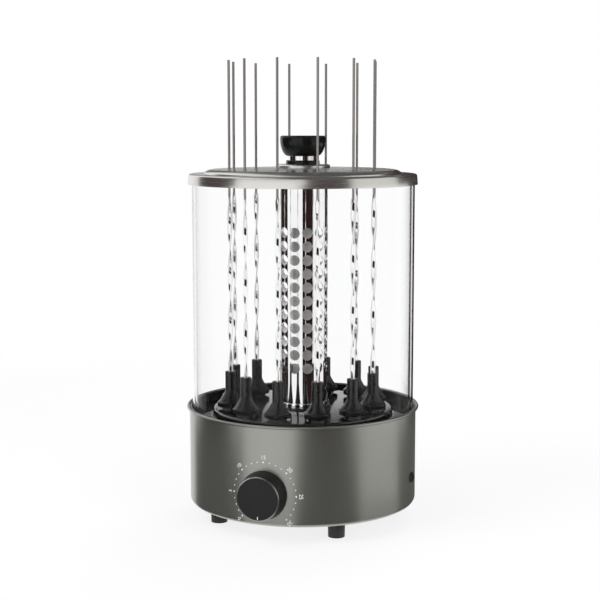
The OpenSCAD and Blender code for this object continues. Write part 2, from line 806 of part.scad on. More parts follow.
knob_skin = 3;          // thickness of the knob's face
module knob_profile() {
    bevel = 1;
    skin = 2;
    hub_r = timer_shaft_r + 3.4;
    hub_foot = knob_back + 4.4;
    difference() {
        polygon([[0, knob_back], [knob_r, knob_back], [knob_face_r + bevel, knob_front - bevel],
                 [knob_face_r, knob_front], [0, knob_front]]);
        polygon([[hub_r, hub_foot], [hub_r, knob_front - knob_skin],
                 [knob_face_r - skin, knob_front - knob_skin], [knob_r - skin, knob_back - past],
                 [0, knob_back - past], [0, hub_foot]]);
        translate([0, knob_back]) square([timer_shaft_r + fit_gap / 2,
                                          knob_front - knob_skin - 1 + rest_gap - knob_back]);
    }
}

module timer_knob() {
    color([0.12, 0.12, 0.12]) facing_front(knob_z) rotate_extrude() knob_profile();
}

// ---- Wiring ----

module terminal_block() {
    ways = 3;
    pitch = 10;
    color([0.9, 0.9, 0.88]) on_axis() translate([62, 0, plate_top]) difference() {
        translate([0, -ways * pitch / 2 - 2, 0]) cube([18, ways * pitch + 4, 13]);
        for (i = [0:ways - 1]) translate([0, (i - (ways - 1) / 2) * pitch, 0]) {
            translate([-past, 0, 6]) rotate([0, 90, 0])
                cylinder(r = 2, h = 18 + 2 * past, $fn = fine);
            for (x = [5, 13]) translate([x, 0, 8]) cylinder(r = 2.2, h = 6, $fn = fine);
        }
    }
}

gland_neck_r = gland_bore_r + 1.3;
module cord_gland() {
    inner_l = 9;
    color([0.04, 0.04, 0.04]) on_axis() translate([0, 0, gland_z]) rotate([0, 90, 0])
        difference() {
            union() {
                translate([0, 0, base_r + fit_gap]) cylinder(r1 = gland_r, r2 = gland_r - 0.5,
                                                             h = 1.5, $fn = fine);
                translate([0, 0, base_bore_r - inner_l])
                    cylinder(r = gland_neck_r, h = inner_l + base_wall + fit_gap + eps,
                             $fn = fine);
                translate([0, 0, base_bore_r - 4.3]) cylinder(r = 7, h = 4, $fn = 6);
            }
            translate([0, 0, base_bore_r - inner_l - past])
                cylinder(r = gland_bore_r, h = 20, $fn = fine);
        }
}

// ---- Drawing ----

base_shell();
base_plate();
feet();
foot_screws();
drip_tray();
gear_deck();
guard_tube();
guard_collar();
heater_tube();
heater_base();
motor_body();
motor_pinion();
sun_gear();
timer_body();
timer_shaft();
timer_knob();
terminal_block();
cord_gland();
glass_cylinder();
lid_plate();
lid_escutcheon();
handle_knob();
handle_band();
handle_screw();
for (k = [1:skewers]) {
    spindle_gear(k);
    shield(k);
    skewer(k);
}
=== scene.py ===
# %% [markdown]
# # An upright electric skewer grill
#
# The grill has a round drive base, a black drip tray, twelve turning skewers round a
# perforated guard, a glass cylinder and a pressed lid with a handle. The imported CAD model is
# the frame: its nodes and bodies are loaded first, and each piece made here rides on one of
# those bodies. Sizes are written in millimetres and turned into metres where a mesh is made.

# %% Load the frame and note its box
import json
import math

import bmesh
import bpy
from mathutils import Matrix, Vector


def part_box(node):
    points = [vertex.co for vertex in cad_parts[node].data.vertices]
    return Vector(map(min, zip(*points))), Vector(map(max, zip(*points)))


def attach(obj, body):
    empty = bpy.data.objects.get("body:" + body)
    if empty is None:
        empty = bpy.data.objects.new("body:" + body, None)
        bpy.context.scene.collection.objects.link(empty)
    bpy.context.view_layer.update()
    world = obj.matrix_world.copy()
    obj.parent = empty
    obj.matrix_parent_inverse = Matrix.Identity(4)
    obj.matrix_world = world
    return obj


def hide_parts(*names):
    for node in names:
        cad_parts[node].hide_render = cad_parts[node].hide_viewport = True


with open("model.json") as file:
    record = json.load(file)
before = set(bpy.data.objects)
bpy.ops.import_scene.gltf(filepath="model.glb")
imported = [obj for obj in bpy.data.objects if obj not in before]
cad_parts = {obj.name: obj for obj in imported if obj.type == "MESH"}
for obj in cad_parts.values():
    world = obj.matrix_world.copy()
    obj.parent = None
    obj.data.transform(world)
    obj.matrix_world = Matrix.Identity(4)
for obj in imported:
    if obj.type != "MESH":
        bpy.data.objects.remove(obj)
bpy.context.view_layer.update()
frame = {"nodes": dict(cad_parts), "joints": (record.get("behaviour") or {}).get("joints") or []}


# %% [markdown]
# Everything round stands on the machine's own axis, a little behind the footprint's centre.
# The axis and the levels come from the boxes of the CAD nodes, so that a piece made here
# follows the model if a size changes. One small function gives a node's box in millimetres.

# %% Read the axis and the levels from the CAD
MM = 0.001


def levels(node):
    """Lowest and highest corner of a CAD node, in millimetres."""
    low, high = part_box(node)
    return Vector(low) / MM, Vector(high) / MM


glass_low, glass_high = levels("glass_cylinder")
AXIS = Vector(((glass_low.x + glass_high.x) / 2, (glass_low.y + glass_high.y) / 2, 0))
GLASS_R = (glass_high.x - glass_low.x) / 2
STATIONS = range(1, 13)
JOINTS = {joint["name"]: joint for joint in frame["joints"]}


def station(k):
    """Place of station k on the table, in millimetres."""
    x, y, _ = JOINTS[f"station_{k}_spin"]["pos_m"]
    return Vector((x / MM, y / MM, 0))


print("axis at", tuple(round(v, 2) for v in AXIS[:2]), "glass radius", round(GLASS_R, 2))


# %% [markdown]
# ## The camera
#
# The photograph was taken from about 1.4 m, a little above the lid, with the timer turned
# towards the left. The camera's place follows from the grill's ellipses: the flatter ellipse
# of the lid and the rounder one of the base give the height, and the knob gives the azimuth.

# %% Place the camera
CAMERA_AWAY = 1388.2     # from the axis, along the table
CAMERA_HEIGHT = 395.4
CAMERA_AZIMUTH = 19.03   # degrees from the timer's side, to the right
CAMERA_PITCH = 7.19      # degrees down from the horizon
CAMERA_LENS = 83.08      # on a sensor 36 mm wide
CAMERA_SHIFT = -0.0046


def linked(name, data):
    """A new object in the scene, holding this data."""
    made = bpy.data.objects.new(name, data)
    bpy.context.scene.collection.objects.link(made)
    return made


azimuth = math.radians(CAMERA_AZIMUTH)
camera = linked("camera", bpy.data.cameras.new("camera"))
camera.location = (AXIS + Vector((CAMERA_AWAY * math.sin(azimuth),
                                  -CAMERA_AWAY * math.cos(azimuth), CAMERA_HEIGHT))) * MM
camera.rotation_euler = (math.radians(90 - CAMERA_PITCH), 0, azimuth)
camera.data.lens = CAMERA_LENS
camera.data.shift_x = CAMERA_SHIFT
camera.data.clip_start = 0.05
bpy.context.scene.camera = camera
bpy.context.scene.view_settings.view_transform = "Standard"
print("camera at", tuple(round(v, 3) for v in camera.location))


# %% [markdown]
# ## Wiring nodes
#
# Materials and Geometry Nodes are both trees of nodes. Two small classes keep the trees below
# short. A Recipe adds a node, sets its fixed values and wires what feeds it in one call.
# What comes back is a Term, the node's output. Terms can be added and multiplied like
# numbers, and each sign adds one Math node.

# %% A short way to add and wire nodes
class Term:
    """One output of a node. Sums written with it, such as a * 2 + b, become Math nodes."""

    def __init__(self, recipe, socket):
        self.recipe, self.socket = recipe, socket

    def __rsub__(self, other):
        return self.recipe.math("SUBTRACT", other, self)


def sign(operation):
    """What a sign written after a term does."""
    return lambda term, other: term.recipe.math(operation, term, other)


Term.__add__, Term.__sub__ = sign("ADD"), sign("SUBTRACT")
Term.__mul__, Term.__truediv__ = sign("MULTIPLY"), sign("DIVIDE")


class Recipe:
    """Adds nodes to one tree, by their plain names. Inputs are given by name or number."""

    FAMILIES = ("ShaderNode", "GeometryNode", "FunctionNode", "Node")

    def __init__(self, tree, made=None):
        self.tree, self.made = tree, made

    def feed(self, socket, value):
        """Wires a term or a list of terms into a socket, or writes a plain value there."""
        if isinstance(value, Term):
            self.tree.links.new(value.socket, socket)
        elif isinstance(value, list):
            for term in value:
                self.feed(socket, term)
        else:
            socket.default_value = value

    def add(self, kind, inputs=None, pick=0, **settings):
        """Adds a node. Returns the output that is picked, or all of them by name."""
        names = [start + kind for start in self.FAMILIES]
        known = [full for full in names if hasattr(bpy.types, full)]
        node = self.tree.nodes.new((known or names)[0])
        for key, value in settings.items():
            setattr(node, key, value)
        for key, value in (inputs or {}).items():
            self.feed(node.inputs[key], value)
        if pick is None:
            return {socket.name: Term(self, socket) for socket in node.outputs}
        return Term(self, node.outputs[pick]) if node.outputs else None

    def math(self, operation, *values):
        """A Math node of one or two values: SINE, POWER, MAXIMUM and so on."""
        return self.add("Math", dict(enumerate(values)), operation=operation)

    def blend(self, share, first, second, colours=False):
        """A Mix node: the first of two numbers or colours at share 0, the second at 1."""
        kind, a, b, out = ("RGBA", 6, 7, 2) if colours else ("FLOAT", 2, 3, 0)
        return self.add("Mix", {0: share, a: first, b: second}, out, data_type=kind)

    def ramp(self, value, low, high, first=0.0, last=1.0, kind="SMOOTHSTEP"):
        """A Map Range node: first up to low, last from high on, and a run between."""
        return self.add("MapRange", {0: value, 1: low, 2: high, 3: first, 4: last},
                        interpolation_type=kind)

    def circle(self, turn):
        """Cosine and sine of an angle."""
        return self.math("COSINE", turn), self.math("SINE", turn)

    def point(self, x=0.0, y=0.0, z=0.0):
        return self.add("CombineXYZ", {0: x, 1: y, 2: z})

    def length(self, vector):
        return self.add("VectorMath", {0: vector}, "Value", operation="LENGTH")


# %% [markdown]
# ## The studio
#
# The picture has a white ground with no horizon, and its metal shows upright bands: white
# softboxes with dark gaps between them. So the world and the floor are white to the camera
# and to reflections, and curved cards stand round the grill where only reflections see them.
# Lamps and a plain grey world give the soft light itself.

# %% Make the world white where it is seen and plain where it lights
WORLD_LIGHT = 0.62
WHITE = (1, 1, 1, 1)


def mirrored(n, path):
    """1 for a ray that comes by way of a mirror or through glass."""
    return n.math("MAXIMUM", path["Is Glossy Ray"], path["Is Transmission Ray"])


world = bpy.data.worlds.new("studio")
world.use_nodes = True
world.node_tree.nodes.clear()
sky = Recipe(world.node_tree)
path = sky.add("LightPath", pick=None)
seen = sky.math("MAXIMUM", path["Is Camera Ray"], mirrored(sky, path))
strength = sky.blend(seen, WORLD_LIGHT, 1.0)
sky.add("OutputWorld", {
    "Surface": sky.add("Background", {"Color": WHITE, "Strength": strength})})
bpy.context.scene.world = world
print("world lights at", WORLD_LIGHT)

# %% Lay a pale floor that keeps the shadow
FLOOR_R = 6000
FLOOR_TONE = 0.9
FLOOR_PLAIN = 0.78              # share of the floor's own white, the rest is lit
FLOOR_NEAR, FLOOR_FAR = 0.25, 1.1    # metres, from where to where the lit share fades out


def mesh_object(name, verts, faces):
    """A new object with a mesh whose points are given in millimetres."""
    mesh = bpy.data.meshes.new(name)
    mesh.from_pydata([Vector(v) * MM for v in verts], [], faces)
    mesh.update()
    return linked(name, mesh)


def disc(name, radius, z, sides):
    """A flat round sheet of one face."""
    turns = [i * math.tau / sides for i in range(sides)]
    return mesh_object(name, [(radius * math.cos(a), radius * math.sin(a), z) for a in turns],
                       [list(range(sides))])


def new_material(name):
    """The recipe of an empty material."""
    made = bpy.data.materials.new(name)
    made.use_nodes = True
    made.node_tree.nodes.clear()
    return Recipe(made.node_tree, made)


def ended(n, shader):
    """The recipe's material, once its last shader is wired in."""
    n.add("OutputMaterial", {0: shader})
    return n.made


n = new_material("pale floor")
path = n.add("LightPath", pick=None)
lit = n.add("BsdfDiffuse", {"Color": (FLOOR_TONE, FLOOR_TONE, FLOOR_TONE, 1)})
plain = n.add("Emission", {"Color": WHITE, "Strength": 1.0})
far = n.ramp(n.length(n.add("NewGeometry")), FLOOR_NEAR, FLOOR_FAR)
shown = n.math("MAXIMUM", path["Is Camera Ray"] * FLOOR_PLAIN, mirrored(n, path))
shown = n.math("MAXIMUM", shown, far * path["Is Camera Ray"])
floor = disc("floor", FLOOR_R, 0, 64)
floor.data.materials.append(ended(n, n.add("MixShader", {0: shown, 1: lit, 2: plain})))
print("floor", 2 * FLOOR_R * MM, "m across")

# %% [markdown]
# Each card covers a sector of what the upright wall mirrors. A point of the wall that faces
# half an angle away from the camera mirrors the floor along the whole angle, so every line of
# a card starts at that point of the wall and runs outwards along the mirrored ray. That keeps
# a band's border upright on the wall. The wall looks down at the floor: its lower edge sees
# the foot cards and the rest of it the near ones. The foot cards are painted shadow: a darker
# band of floor close to the grill, which the wall's lower edge mirrors. The guard and the
# skewers look far out, and the flared band of the lid and the rods over it look slightly up,
# at the high cards. Three more sets and a ceiling close the room above: the dome of the lid
# mirrors the ceiling, which grows paler to the left, and the flat of the tray mirrors what
# stands behind the grill.

# %% Stand cards where the metal should mirror a dark gap
BLACK, SOOT, DIM = (0.022, 0.01, 0.01), (0.1, 0.098, 0.095), (0.72, 0.72, 0.7)
GREY, MID, PALE = (0.14, 0.139, 0.132), (0.45, 0.45, 0.44), (0.6, 0.6, 0.59)
CARDS = {                # way along the mirrored ray and up, then degrees from the camera
    # painted shadow: the foot cards darken the floor close to the grill, which the wall's lower
    # edge mirrors
    "foot": ([(12, 2.5), (130, 2.5)], {"left": (-61, -7, PALE), "right": (57, 111, MID)}),
    "near": ([(12, 1.5), (520, 1.5)], {
        "left": (-139, -61, GREY), "front": (-7, 57, GREY), "right": (57, 111, DIM),
        "back": (111, 179, GREY)}),
    "far": ([(520, 1.5), (3000, 1.5), (3000, 620)], {
        "left": (-123, -76, BLACK), "front": (-1, 48, BLACK), "back": (127, 179, BLACK)}),
    "high": ([(250, 340), (250, 480)], {
        "left": (-125, -69, BLACK), "front": (3, 47, BLACK), "right": (47, 107, DIM),
        "back": (107, 179, BLACK)}),
    "upper": ([(3200, 1150), (3200, 1900)], {"before": (-75, 62, MID)}),
    "top": ([(3200, 1900), (3200, 2400)], {"before": (-75, 62, SOOT)}),
    "behind": ([(3200, 770), (3200, 2400)], {"behind": (118, 205, SOOT)})}
CARD_STEPS = 24
LOOK = azimuth - math.pi / 2          # from the axis to the camera


def glowing(name, colour, strength):
    """A material that only glows, by a number or a term."""
    n = new_material(name)
    strength = strength(n) if callable(strength) else strength
    return ended(n, n.add("Emission", {"Color": colour, "Strength": strength}))


def hang(card, finish):
    """Shows a card to reflections only."""
    card.data.materials.append(finish)
    card.visible_camera = card.visible_diffuse = card.visible_shadow = False
    card.visible_transmission = False


def heading(turn):
    """The level direction that is turned this far from the camera."""
    return Vector((math.cos(LOOK + turn), math.sin(LOOK + turn), 0))


def stand_card(name, start, stop, path):
    """A card along the rays that the wall mirrors between two angles."""
    verts, faces = [], []
    for i in range(CARD_STEPS + 1):
        turn = math.radians(start + (stop - start) * i / CARD_STEPS)
        foot = AXIS + heading(turn / 2) * GLASS_R
        verts += [foot + heading(turn) * s + Vector((0, 0, z)) for s, z in path]
    for i in range(CARD_STEPS):
        for j in range(len(path) - 1):
            a = len(path) * i + j
            faces.append((a, a + 1, a + 1 + len(path), a + len(path)))
    return mesh_object(name, verts, faces)


for part, (path, sectors) in CARDS.items():
    for name, (start, stop, tone) in sectors.items():
        hang(stand_card(f"card_{part}_{name}", start, stop, path),
             glowing(f"{part} {name} card", (*tone, 1), 1.0))
print(len(CARDS), "sets of cards")

# %% Close the room with a ceiling that grows paler to the left
CEILING_Z, CEILING_R = 2400, 3200
FADE_FROM, FADE_TO = -0.3, -1.5       # metres beside the axis, to the camera's left
CEILING_DARK, CEILING_PALE = 0.05, 0.95


def faded(n):
    """The ceiling's glow at each point."""
    left = (-math.sin(LOOK), math.cos(LOOK), 0)
    beside = n.add("VectorMath", {0: n.add("TexCoord", pick="Object"), 1: left}, "Value",
                   operation="DOT_PRODUCT")
    return n.ramp(beside, FADE_FROM, FADE_TO, CEILING_DARK, CEILING_PALE)


ceiling = disc("card_ceiling", CEILING_R, CEILING_Z, 48)
hang(ceiling, glowing("ceiling card", WHITE, faded))
print("ceiling at", CEILING_Z * MM, "m")

# %% Hang soft lamps that mirrors do not show
LAMPS = {                # place in mm, size in mm, power in watts
    "key_lamp": ((-900, -1100, 1500), 1100, 17),
    "fill_lamp": ((1300, -900, 900), 900, 9),
    "back_lamp": ((200, 1400, 1300), 900, 9),
}
AIM = Vector((0, 0, 200))
for name, (place, size, power) in LAMPS.items():
    lamp = linked(name, bpy.data.lights.new(name, "AREA"))
    lamp.data.size = size * MM
    lamp.data.energy = power
    lamp.visible_glossy = False
    lamp.location = Vector(place) * MM
    lamp.rotation_euler = (AIM - Vector(place)).to_track_quat("-Z", "Y").to_euler()
print(len(LAMPS), "lamps")


# %% [markdown]
# ## Finishes
#
# Each finish starts from one question: what does the real surface show from a step away? A
# sprayed panel shows fine flake, a spun lid shows rings, a moulding shows a faint orange
# peel. All patterns are worked out from Object coordinates in metres, so a scale of 1000
# means about one grain per millimetre.

# %% Helpers that every finish uses
def on_axis(n, stretch=(1, 1, 1)):
    """Object coordinates, centred on the grill's axis and stretched."""
    where = n.add("TexCoord", pick="Object")
    return n.add("Mapping", {"Vector": where, "Location": -AXIS * MM,
                             "Scale": stretch})


def grain(n, scale, detail=3.0, stretch=(1, 1, 1)):
    """A noise from 0 to 1."""
    return n.add("TexNoise", {"Vector": on_axis(n, stretch), "Scale": scale,
                              "Detail": detail, "Roughness": 0.55}, "Fac")


def ranged(n, value, low, high):
    """The middle of a noise stretched to run from low to high."""
    return n.ramp(value, 0.3, 0.7, low, high, "LINEAR")


def tinted(n, share, dark, light):
    """A colour between two, by a share from 0 to 1."""
    return n.blend(share, (*dark, 1), (*light, 1), colours=True)


def bumped(n, height, depth, strength):
    """A normal from a height between 0 and 1, where 1 stands depth millimetres proud."""
    return n.add("Bump", {"Height": height, "Distance": depth * MM,
                          "Strength": strength})


def coated(n, colour, rough, normal=None, **more):
    """The Principled shader that ends most finishes, with more of its inputs by name."""
    inputs = {"Base Color": colour, "Roughness": rough}
    if normal is not None:
        inputs["Normal"] = normal
    for key, value in more.items():
        inputs[key.replace("_", " ").title().replace("Ior", "IOR")] = value
    return ended(n, n.add("BsdfPrincipled", inputs))


def toned(n, share, tone, low, high):
    """One colour that grows from low to high times its own lightness."""
    return tinted(n, share, *(tuple(min(1.0, c * f) for c in tone) for f in (low, high)))


# %% [markdown]
# The wall is sprayed with a warm grey metallic lacquer. Its flake is much finer than a
# millimetre and only breathes in the reflections, and the lacquer over it has a slight wave.

# %% Metallic lacquer of the base
def metallic_lacquer(tone):
    n = new_material("metallic lacquer")
    flake = grain(n, 2600, detail=2)
    cloud = grain(n, 18, detail=2)
    colour = toned(n, n.blend(0.35, flake, cloud), tone, 0.9, 1.1)
    return coated(n, colour, ranged(n, flake, 0.27, 0.33), bumped(n, cloud, 0.15, 0.2),
                  metallic=0.96, coat_weight=0.25, coat_roughness=0.12)


# %% [markdown]
# The lid is spun or drawn sheet, brushed while it turns, so its lines run round the axis.
# Stretching the noise would give straight lines. Instead the noise is read at the radius and
# the height only, which makes every line a circle.

# %% Ring-brushed metal of the lid
def ring_brushed(name, tone, rough_low, rough_high):
    n = new_material(name)
    at = n.add("SeparateXYZ", {0: on_axis(n)}, None)
    radius = n.length(n.point(at["X"], at["Y"]))
    lines = n.add("TexNoise", {"Vector": n.point(radius, at["Z"]), "Scale": 1800.0,
                               "Detail": 3.0}, "Fac")
    cloud = grain(n, 30, detail=2)
    colour = toned(n, n.blend(0.3, lines, cloud), tone, 0.86, 1.12)
    return coated(n, colour, ranged(n, lines, rough_low, rough_high),
                  bumped(n, lines, 0.02, 0.35), metallic=0.95)


# %% [markdown]
# Polished chrome is nearly a mirror. What makes it read as metal and not as a hole in the
# picture is a little haze that comes and goes, like wiped-off fingerprints.

# %% Polished chrome
def smeared(n):
    """Faint upright smears, as a cloth leaves them."""
    return grain(n, 60, detail=4, stretch=(1, 1, 0.3))


def polished_chrome(name, tone, haze):
    n = new_material(name)
    smear = smeared(n)
    fine = grain(n, 900, detail=2)
    rough = ranged(n, n.blend(0.3, smear, fine), haze * 0.5, haze)
    return coated(n, toned(n, smear, tone, 0.97, 1.02), rough, metallic=1.0)


# %% [markdown]
# A skewer's flats are polished by the rolls that flatten it, and its edges are left duller.
# The skewer's tree stores how far each point lies from the middle of the strip, and whether
# it belongs to the rod. The finish reads both numbers: bright and mirror-like in the strip's
# middle, silky towards its edges, and darker on the rod, which the rolls never touched.

# %% Rolled steel of the skewers
def rolled_steel():
    n = new_material("rolled skewer steel")
    across = n.add("Attribute", pick="Fac", attribute_name="across")
    rod = n.add("Attribute", pick="Fac", attribute_name="rod")
    edge = n.ramp(across, 0.38, 0.56)
    flat = tinted(n, edge, (0.95, 0.945, 0.94), (0.99, 0.99, 0.99))
    colour = n.blend(rod, flat, (0.42, 0.4, 0.39, 1), colours=True)
    rough = n.blend(edge, ranged(n, smeared(n), 0.04, 0.09), 0.6)
    return coated(n, colour, rough, metallic=n.blend(edge, 1.0, 0.35))


# %% [markdown]
# Drawn wire, plated sheet and turned brass share a longer grain. The stretch makes the noise
# run along the wire or the sheet, and two scales keep it from looking like stripes.

# %% Plated and drawn metal
def drawn_metal(name, tone, rough_low, rough_high, stretch=(1, 1, 0.08)):
    n = new_material(name)
    lines = grain(n, 1400, detail=3, stretch=stretch)
    spots = grain(n, 140, detail=3)
    both = n.blend(0.5, lines, spots)
    return coated(n, toned(n, both, tone, 0.85, 1.1), ranged(n, both, rough_low, rough_high),
                  bumped(n, lines, 0.01, 0.3), metallic=1.0)


# %% [markdown]
# The tray is enamelled: a thick glassy black with a slight wave and a few dull spots where
# it was wiped. A coat over a rougher base gives the double reflection of enamel. Beyond the
# raised middle, in the channel that catches the fat, most of the gloss is taken away: this is
# painted shade, which keeps the deep channel dark.

# %% Black enamel of the tray
CHANNEL_R = 92.0         # where the raised middle of the tray ends
SHADE_EDGE = 2.0          # how far the painted shade takes to set in


def black_enamel():
    n = new_material("black enamel")
    wave = grain(n, 45, detail=2)
    radius = n.length(on_axis(n, (1, 1, 0)))
    # painted shade: beyond the raised middle the coat and gloss fade out, so the channel mirrors
    # little and stays dark
    channel_shade = n.ramp(radius, CHANNEL_R * MM, (CHANNEL_R + SHADE_EDGE) * MM, kind="LINEAR")
    colour = tinted(n, wave, (0.008, 0.008, 0.008), (0.016, 0.015, 0.015))
    return coated(n, colour, ranged(n, grain(n, 14, detail=4), 0.06, 0.13),
                  bumped(n, wave, 0.2, 0.12), coat_weight=n.blend(channel_shade, 0.5, 0.03),
                  coat_roughness=0.08, specular_ior_level=n.blend(channel_shade, 0.5, 0.12))


# %% [markdown]
# Mouldings are dyed through. A fine orange peel breaks the highlight, and a slower noise
# lets the gloss wander, as it does where hands and cloths have been.

# %% Moulded plastic, rubber and ceramic
def moulding(name, tone, rough_low, rough_high, peel=0.03, peel_scale=900, vary=0.12,
             **fixed):
    n = new_material(name)
    skin = grain(n, peel_scale, detail=2)
    cloud = grain(n, 40, detail=3)
    colour = toned(n, n.blend(0.4, skin, cloud), tone, 1 - vary, 1 + vary)
    return coated(n, colour, ranged(n, cloud, rough_low, rough_high),
                  bumped(n, skin, peel, 0.4), **fixed)


# %% [markdown]
# The quartz tube is sand-blasted, and the heating wire inside shows as faint dark turns. A
# wave along the tube stands for the wire, softened by noise.

# %% Frosted quartz of the heater
def frosted_quartz():
    n = new_material("frosted quartz")
    where = n.add("TexCoord", pick="Object")
    turns = n.add("TexWave", {"Vector": where, "Scale": 60.0, "Distortion": 0.6,
                              "Detail": 1.0}, "Fac", bands_direction="Z")
    frost = grain(n, 1500, detail=3)
    colour = tinted(n, n.blend(0.35, frost, turns), (0.4, 0.39, 0.38), (0.52, 0.51, 0.5))
    return coated(n, colour, ranged(n, frost, 0.45, 0.6), bumped(n, frost, 0.02, 0.5))


# %% [markdown]
# Clear glass in front of a white ground is seen only where it turns away: the light's way
# through the wall gets long there and goes grey, and the reflection takes over. So the glass
# is a Transparent shader whose tint follows Layer Weight, under a reflection that follows
# Schlick's rule and becomes whole in a narrow rim. The Fresnel node isn't used, because it
# turns black where a ray leaves the wall again.

# %% Clear glass
def clear_glass():
    n = new_material("clear glass")
    facing = n.add("LayerWeight", {"Blend": 0.5}, "Facing")
    tint = tinted(n, n.ramp(facing, 0.6, 1.0), (0.995, 0.996, 0.996), (0.93, 0.93, 0.93))
    clear = n.add("BsdfTransparent", {"Color": tint})
    wiped = ranged(n, grain(n, 30, detail=4), 0.015, 0.05)
    gloss = n.add("BsdfGlossy", {"Color": WHITE, "Roughness": wiped})
    share = n.math("MAXIMUM", n.ramp(facing, 0.78, 0.87), n.math("POWER", facing, 7.0) + 0.004)
    return ended(n, n.add("MixShader", {0: share, 1: clear, 2: gloss}))


# %% Give every CAD node its finish
LACQUER = metallic_lacquer((0.35, 0.352, 0.324))
ENAMEL = black_enamel()
LID_METAL = ring_brushed("brushed lid metal", (0.76, 0.752, 0.72), 0.2, 0.28)
CHROME = polished_chrome("polished chrome", (0.93, 0.93, 0.93), 0.05)
SATIN_CHROME = polished_chrome("satin chrome", (0.95, 0.95, 0.95), 0.4)
SKEWER_STEEL = rolled_steel()
ZINC = drawn_metal("zinc plate", (0.55, 0.56, 0.57), 0.28, 0.42, stretch=(1, 0.1, 1))
SCREW_STEEL = drawn_metal("screw steel", (0.6, 0.6, 0.6), 0.22, 0.35)
HEAT_DULLED = drawn_metal("heat-dulled steel", (0.82, 0.81, 0.8), 0.2, 0.3)
BRASS = drawn_metal("turned brass", (0.72, 0.55, 0.26), 0.2, 0.35)
RUBBER = moulding("foot rubber", (0.016, 0.016, 0.016), 0.5, 0.68, peel=0.05)
DECK = moulding("heat-proof deck", (0.33, 0.26, 0.17), 0.5, 0.65, vary=0.2)
NYLON = moulding("natural nylon", (0.68, 0.66, 0.58), 0.35, 0.5)
CERAMIC = moulding("white ceramic", (0.74, 0.72, 0.67), 0.55, 0.7, peel=0.05)
TERMINAL = moulding("terminal moulding", (0.8, 0.8, 0.77), 0.35, 0.5)
BLACK_MOULD = moulding("black moulding", (0.014, 0.014, 0.014), 0.3, 0.42)
PIANO_BLACK = moulding("polished black", (0.008, 0.008, 0.008), 0.1, 0.18, peel=0.012,
                       specular_ior_level=0.25)
SHIELD_BLACK = moulding("shield black", (0.011, 0.011, 0.011), 0.13, 0.2, peel=0.012,
                        specular_ior_level=0.4)
KNOB_BLACK = moulding("knob black", (0.014, 0.014, 0.014), 0.42, 0.52, peel=0.02,
                      peel_scale=1600, specular_ior_level=0.2)
QUARTZ = frosted_quartz()
GLASS = clear_glass()

WEARERS = {              # nodes of each finish, without a station's number
    LACQUER: "base_shell", ZINC: "base_plate motor_body timer_body", RUBBER: "feet",
    SCREW_STEEL: "foot_screws handle_screw", ENAMEL: "drip_tray", DECK: "gear_deck",
    CHROME: "guard_tube guard_collar handle_band", QUARTZ: "heater_tube",
    CERAMIC: "heater_base", NYLON: "motor_pinion sun_gear spindle_gear",
    BRASS: "timer_shaft", KNOB_BLACK: "timer_knob", TERMINAL: "terminal_block",
    BLACK_MOULD: "cord_gland", GLASS: "glass_cylinder", LID_METAL: "lid_plate",
    SATIN_CHROME: "lid_escutcheon", PIANO_BLACK: "handle_knob", SHIELD_BLACK: "shield",
    SKEWER_STEEL: "skewer"}
FINISHES = {node: finish for finish, nodes in WEARERS.items() for node in nodes.split()}


def dress(made, finish):
    """Puts one finish on every face of an object."""
    made.data.materials.clear()
    made.data.materials.append(finish)


for name, node in frame["nodes"].items():
    dress(node, FINISHES[name.rstrip("_0123456789")])
print(len(frame["nodes"]), "nodes dressed in", len(WEARERS), "finishes")


# %% [markdown]
# ## Turned pieces
#
# Most of the grill is round. A turned piece is an outline spun round an axis. Real edges are
# never sharp, so the outline's corners are rounded first: each corner is swapped for a short
# arc that leaves and meets its two sides smoothly.

# %% Round an outline's corners and spin it
SHARP = math.radians(35)         # an edge that turns more than this stays sharp
NEAR_AXIS = 1e-6


def rounded(corners, steps=5):
    """Outline points from (radius, height, fillet) corners."""
    points = []
    for i, (r, z, fillet) in enumerate(corners):
        here = Vector((r, z))
        if fillet == 0:
            points.append(here)
            continue
        before = (Vector(corners[i - 1][:2]) - here).normalized()
        after = (Vector(corners[(i + 1) % len(corners)][:2]) - here).normalized()
        half = before.angle(after) / 2
        centre = here + (before + after).normalized() * (fillet / math.sin(half))
        first = here + before * (fillet / math.tan(half)) - centre
        sweep = first.angle_signed(here + after * (fillet / math.tan(half)) - centre)
        for j in range(steps + 1):
            points.append(centre + Matrix.Rotation(-sweep * j / steps, 2) @ first)
    return points


def smoothed(mesh, bm=None):
    """Smooth shading but for the sharp edges, after a bmesh is written into the mesh."""
    if bm:
        bm.to_mesh(mesh)
        bm.free()
    mesh.shade_smooth()
    mesh.set_sharp_from_angle(angle=SHARP)
    return mesh


def finished(name, bm):
    """An object from a bmesh."""
    return linked(name, smoothed(bpy.data.meshes.new(name), bm))


def spun(name, outline, place, turns=96, closed=True):
    """A mesh spun from an outline of (radius, height) points round an upright axis."""
    bm = bmesh.new()
    rows = []
    for r, z in outline:
        spots = [(r * math.cos(a), r * math.sin(a), z)
                 for a in (i * math.tau / turns for i in range(turns))]
        if r < NEAR_AXIS:
            spots = [(0, 0, z)]
        rows.append([bm.verts.new((place + Vector(spot)) * MM) for spot in spots])
    for low, high in zip(rows, rows[1:] + (rows[:1] if closed else [])):
        if len(low) == len(high) == 1:
            continue
        for i in range(turns):
            j = (i + 1) % turns
            ring = [low[i % len(low)], low[j % len(low)], high[j % len(high)],
                    high[i % len(high)]]
            bm.faces.new(list(dict.fromkeys(ring)))
    bmesh.ops.recalc_face_normals(bm, faces=bm.faces)
    return finished(name, bm)


def settle(made, finish, body, slot, *nodes):
    """Finish, body and the CAD nodes that a piece stands for. The material slot is not used."""
    dress(made, finish)
    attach(made, body)
    if nodes:
        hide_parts(*nodes)
    print(made.name, len(made.data.polygons), "faces on", body)


# %% [markdown]
# ## The glass cylinder
#
# It is a plain tube with fire-polished ends. Only the two thin rims catch the light, so they
# are rounded and the wall is left alone, as one tall face for each step round the axis.

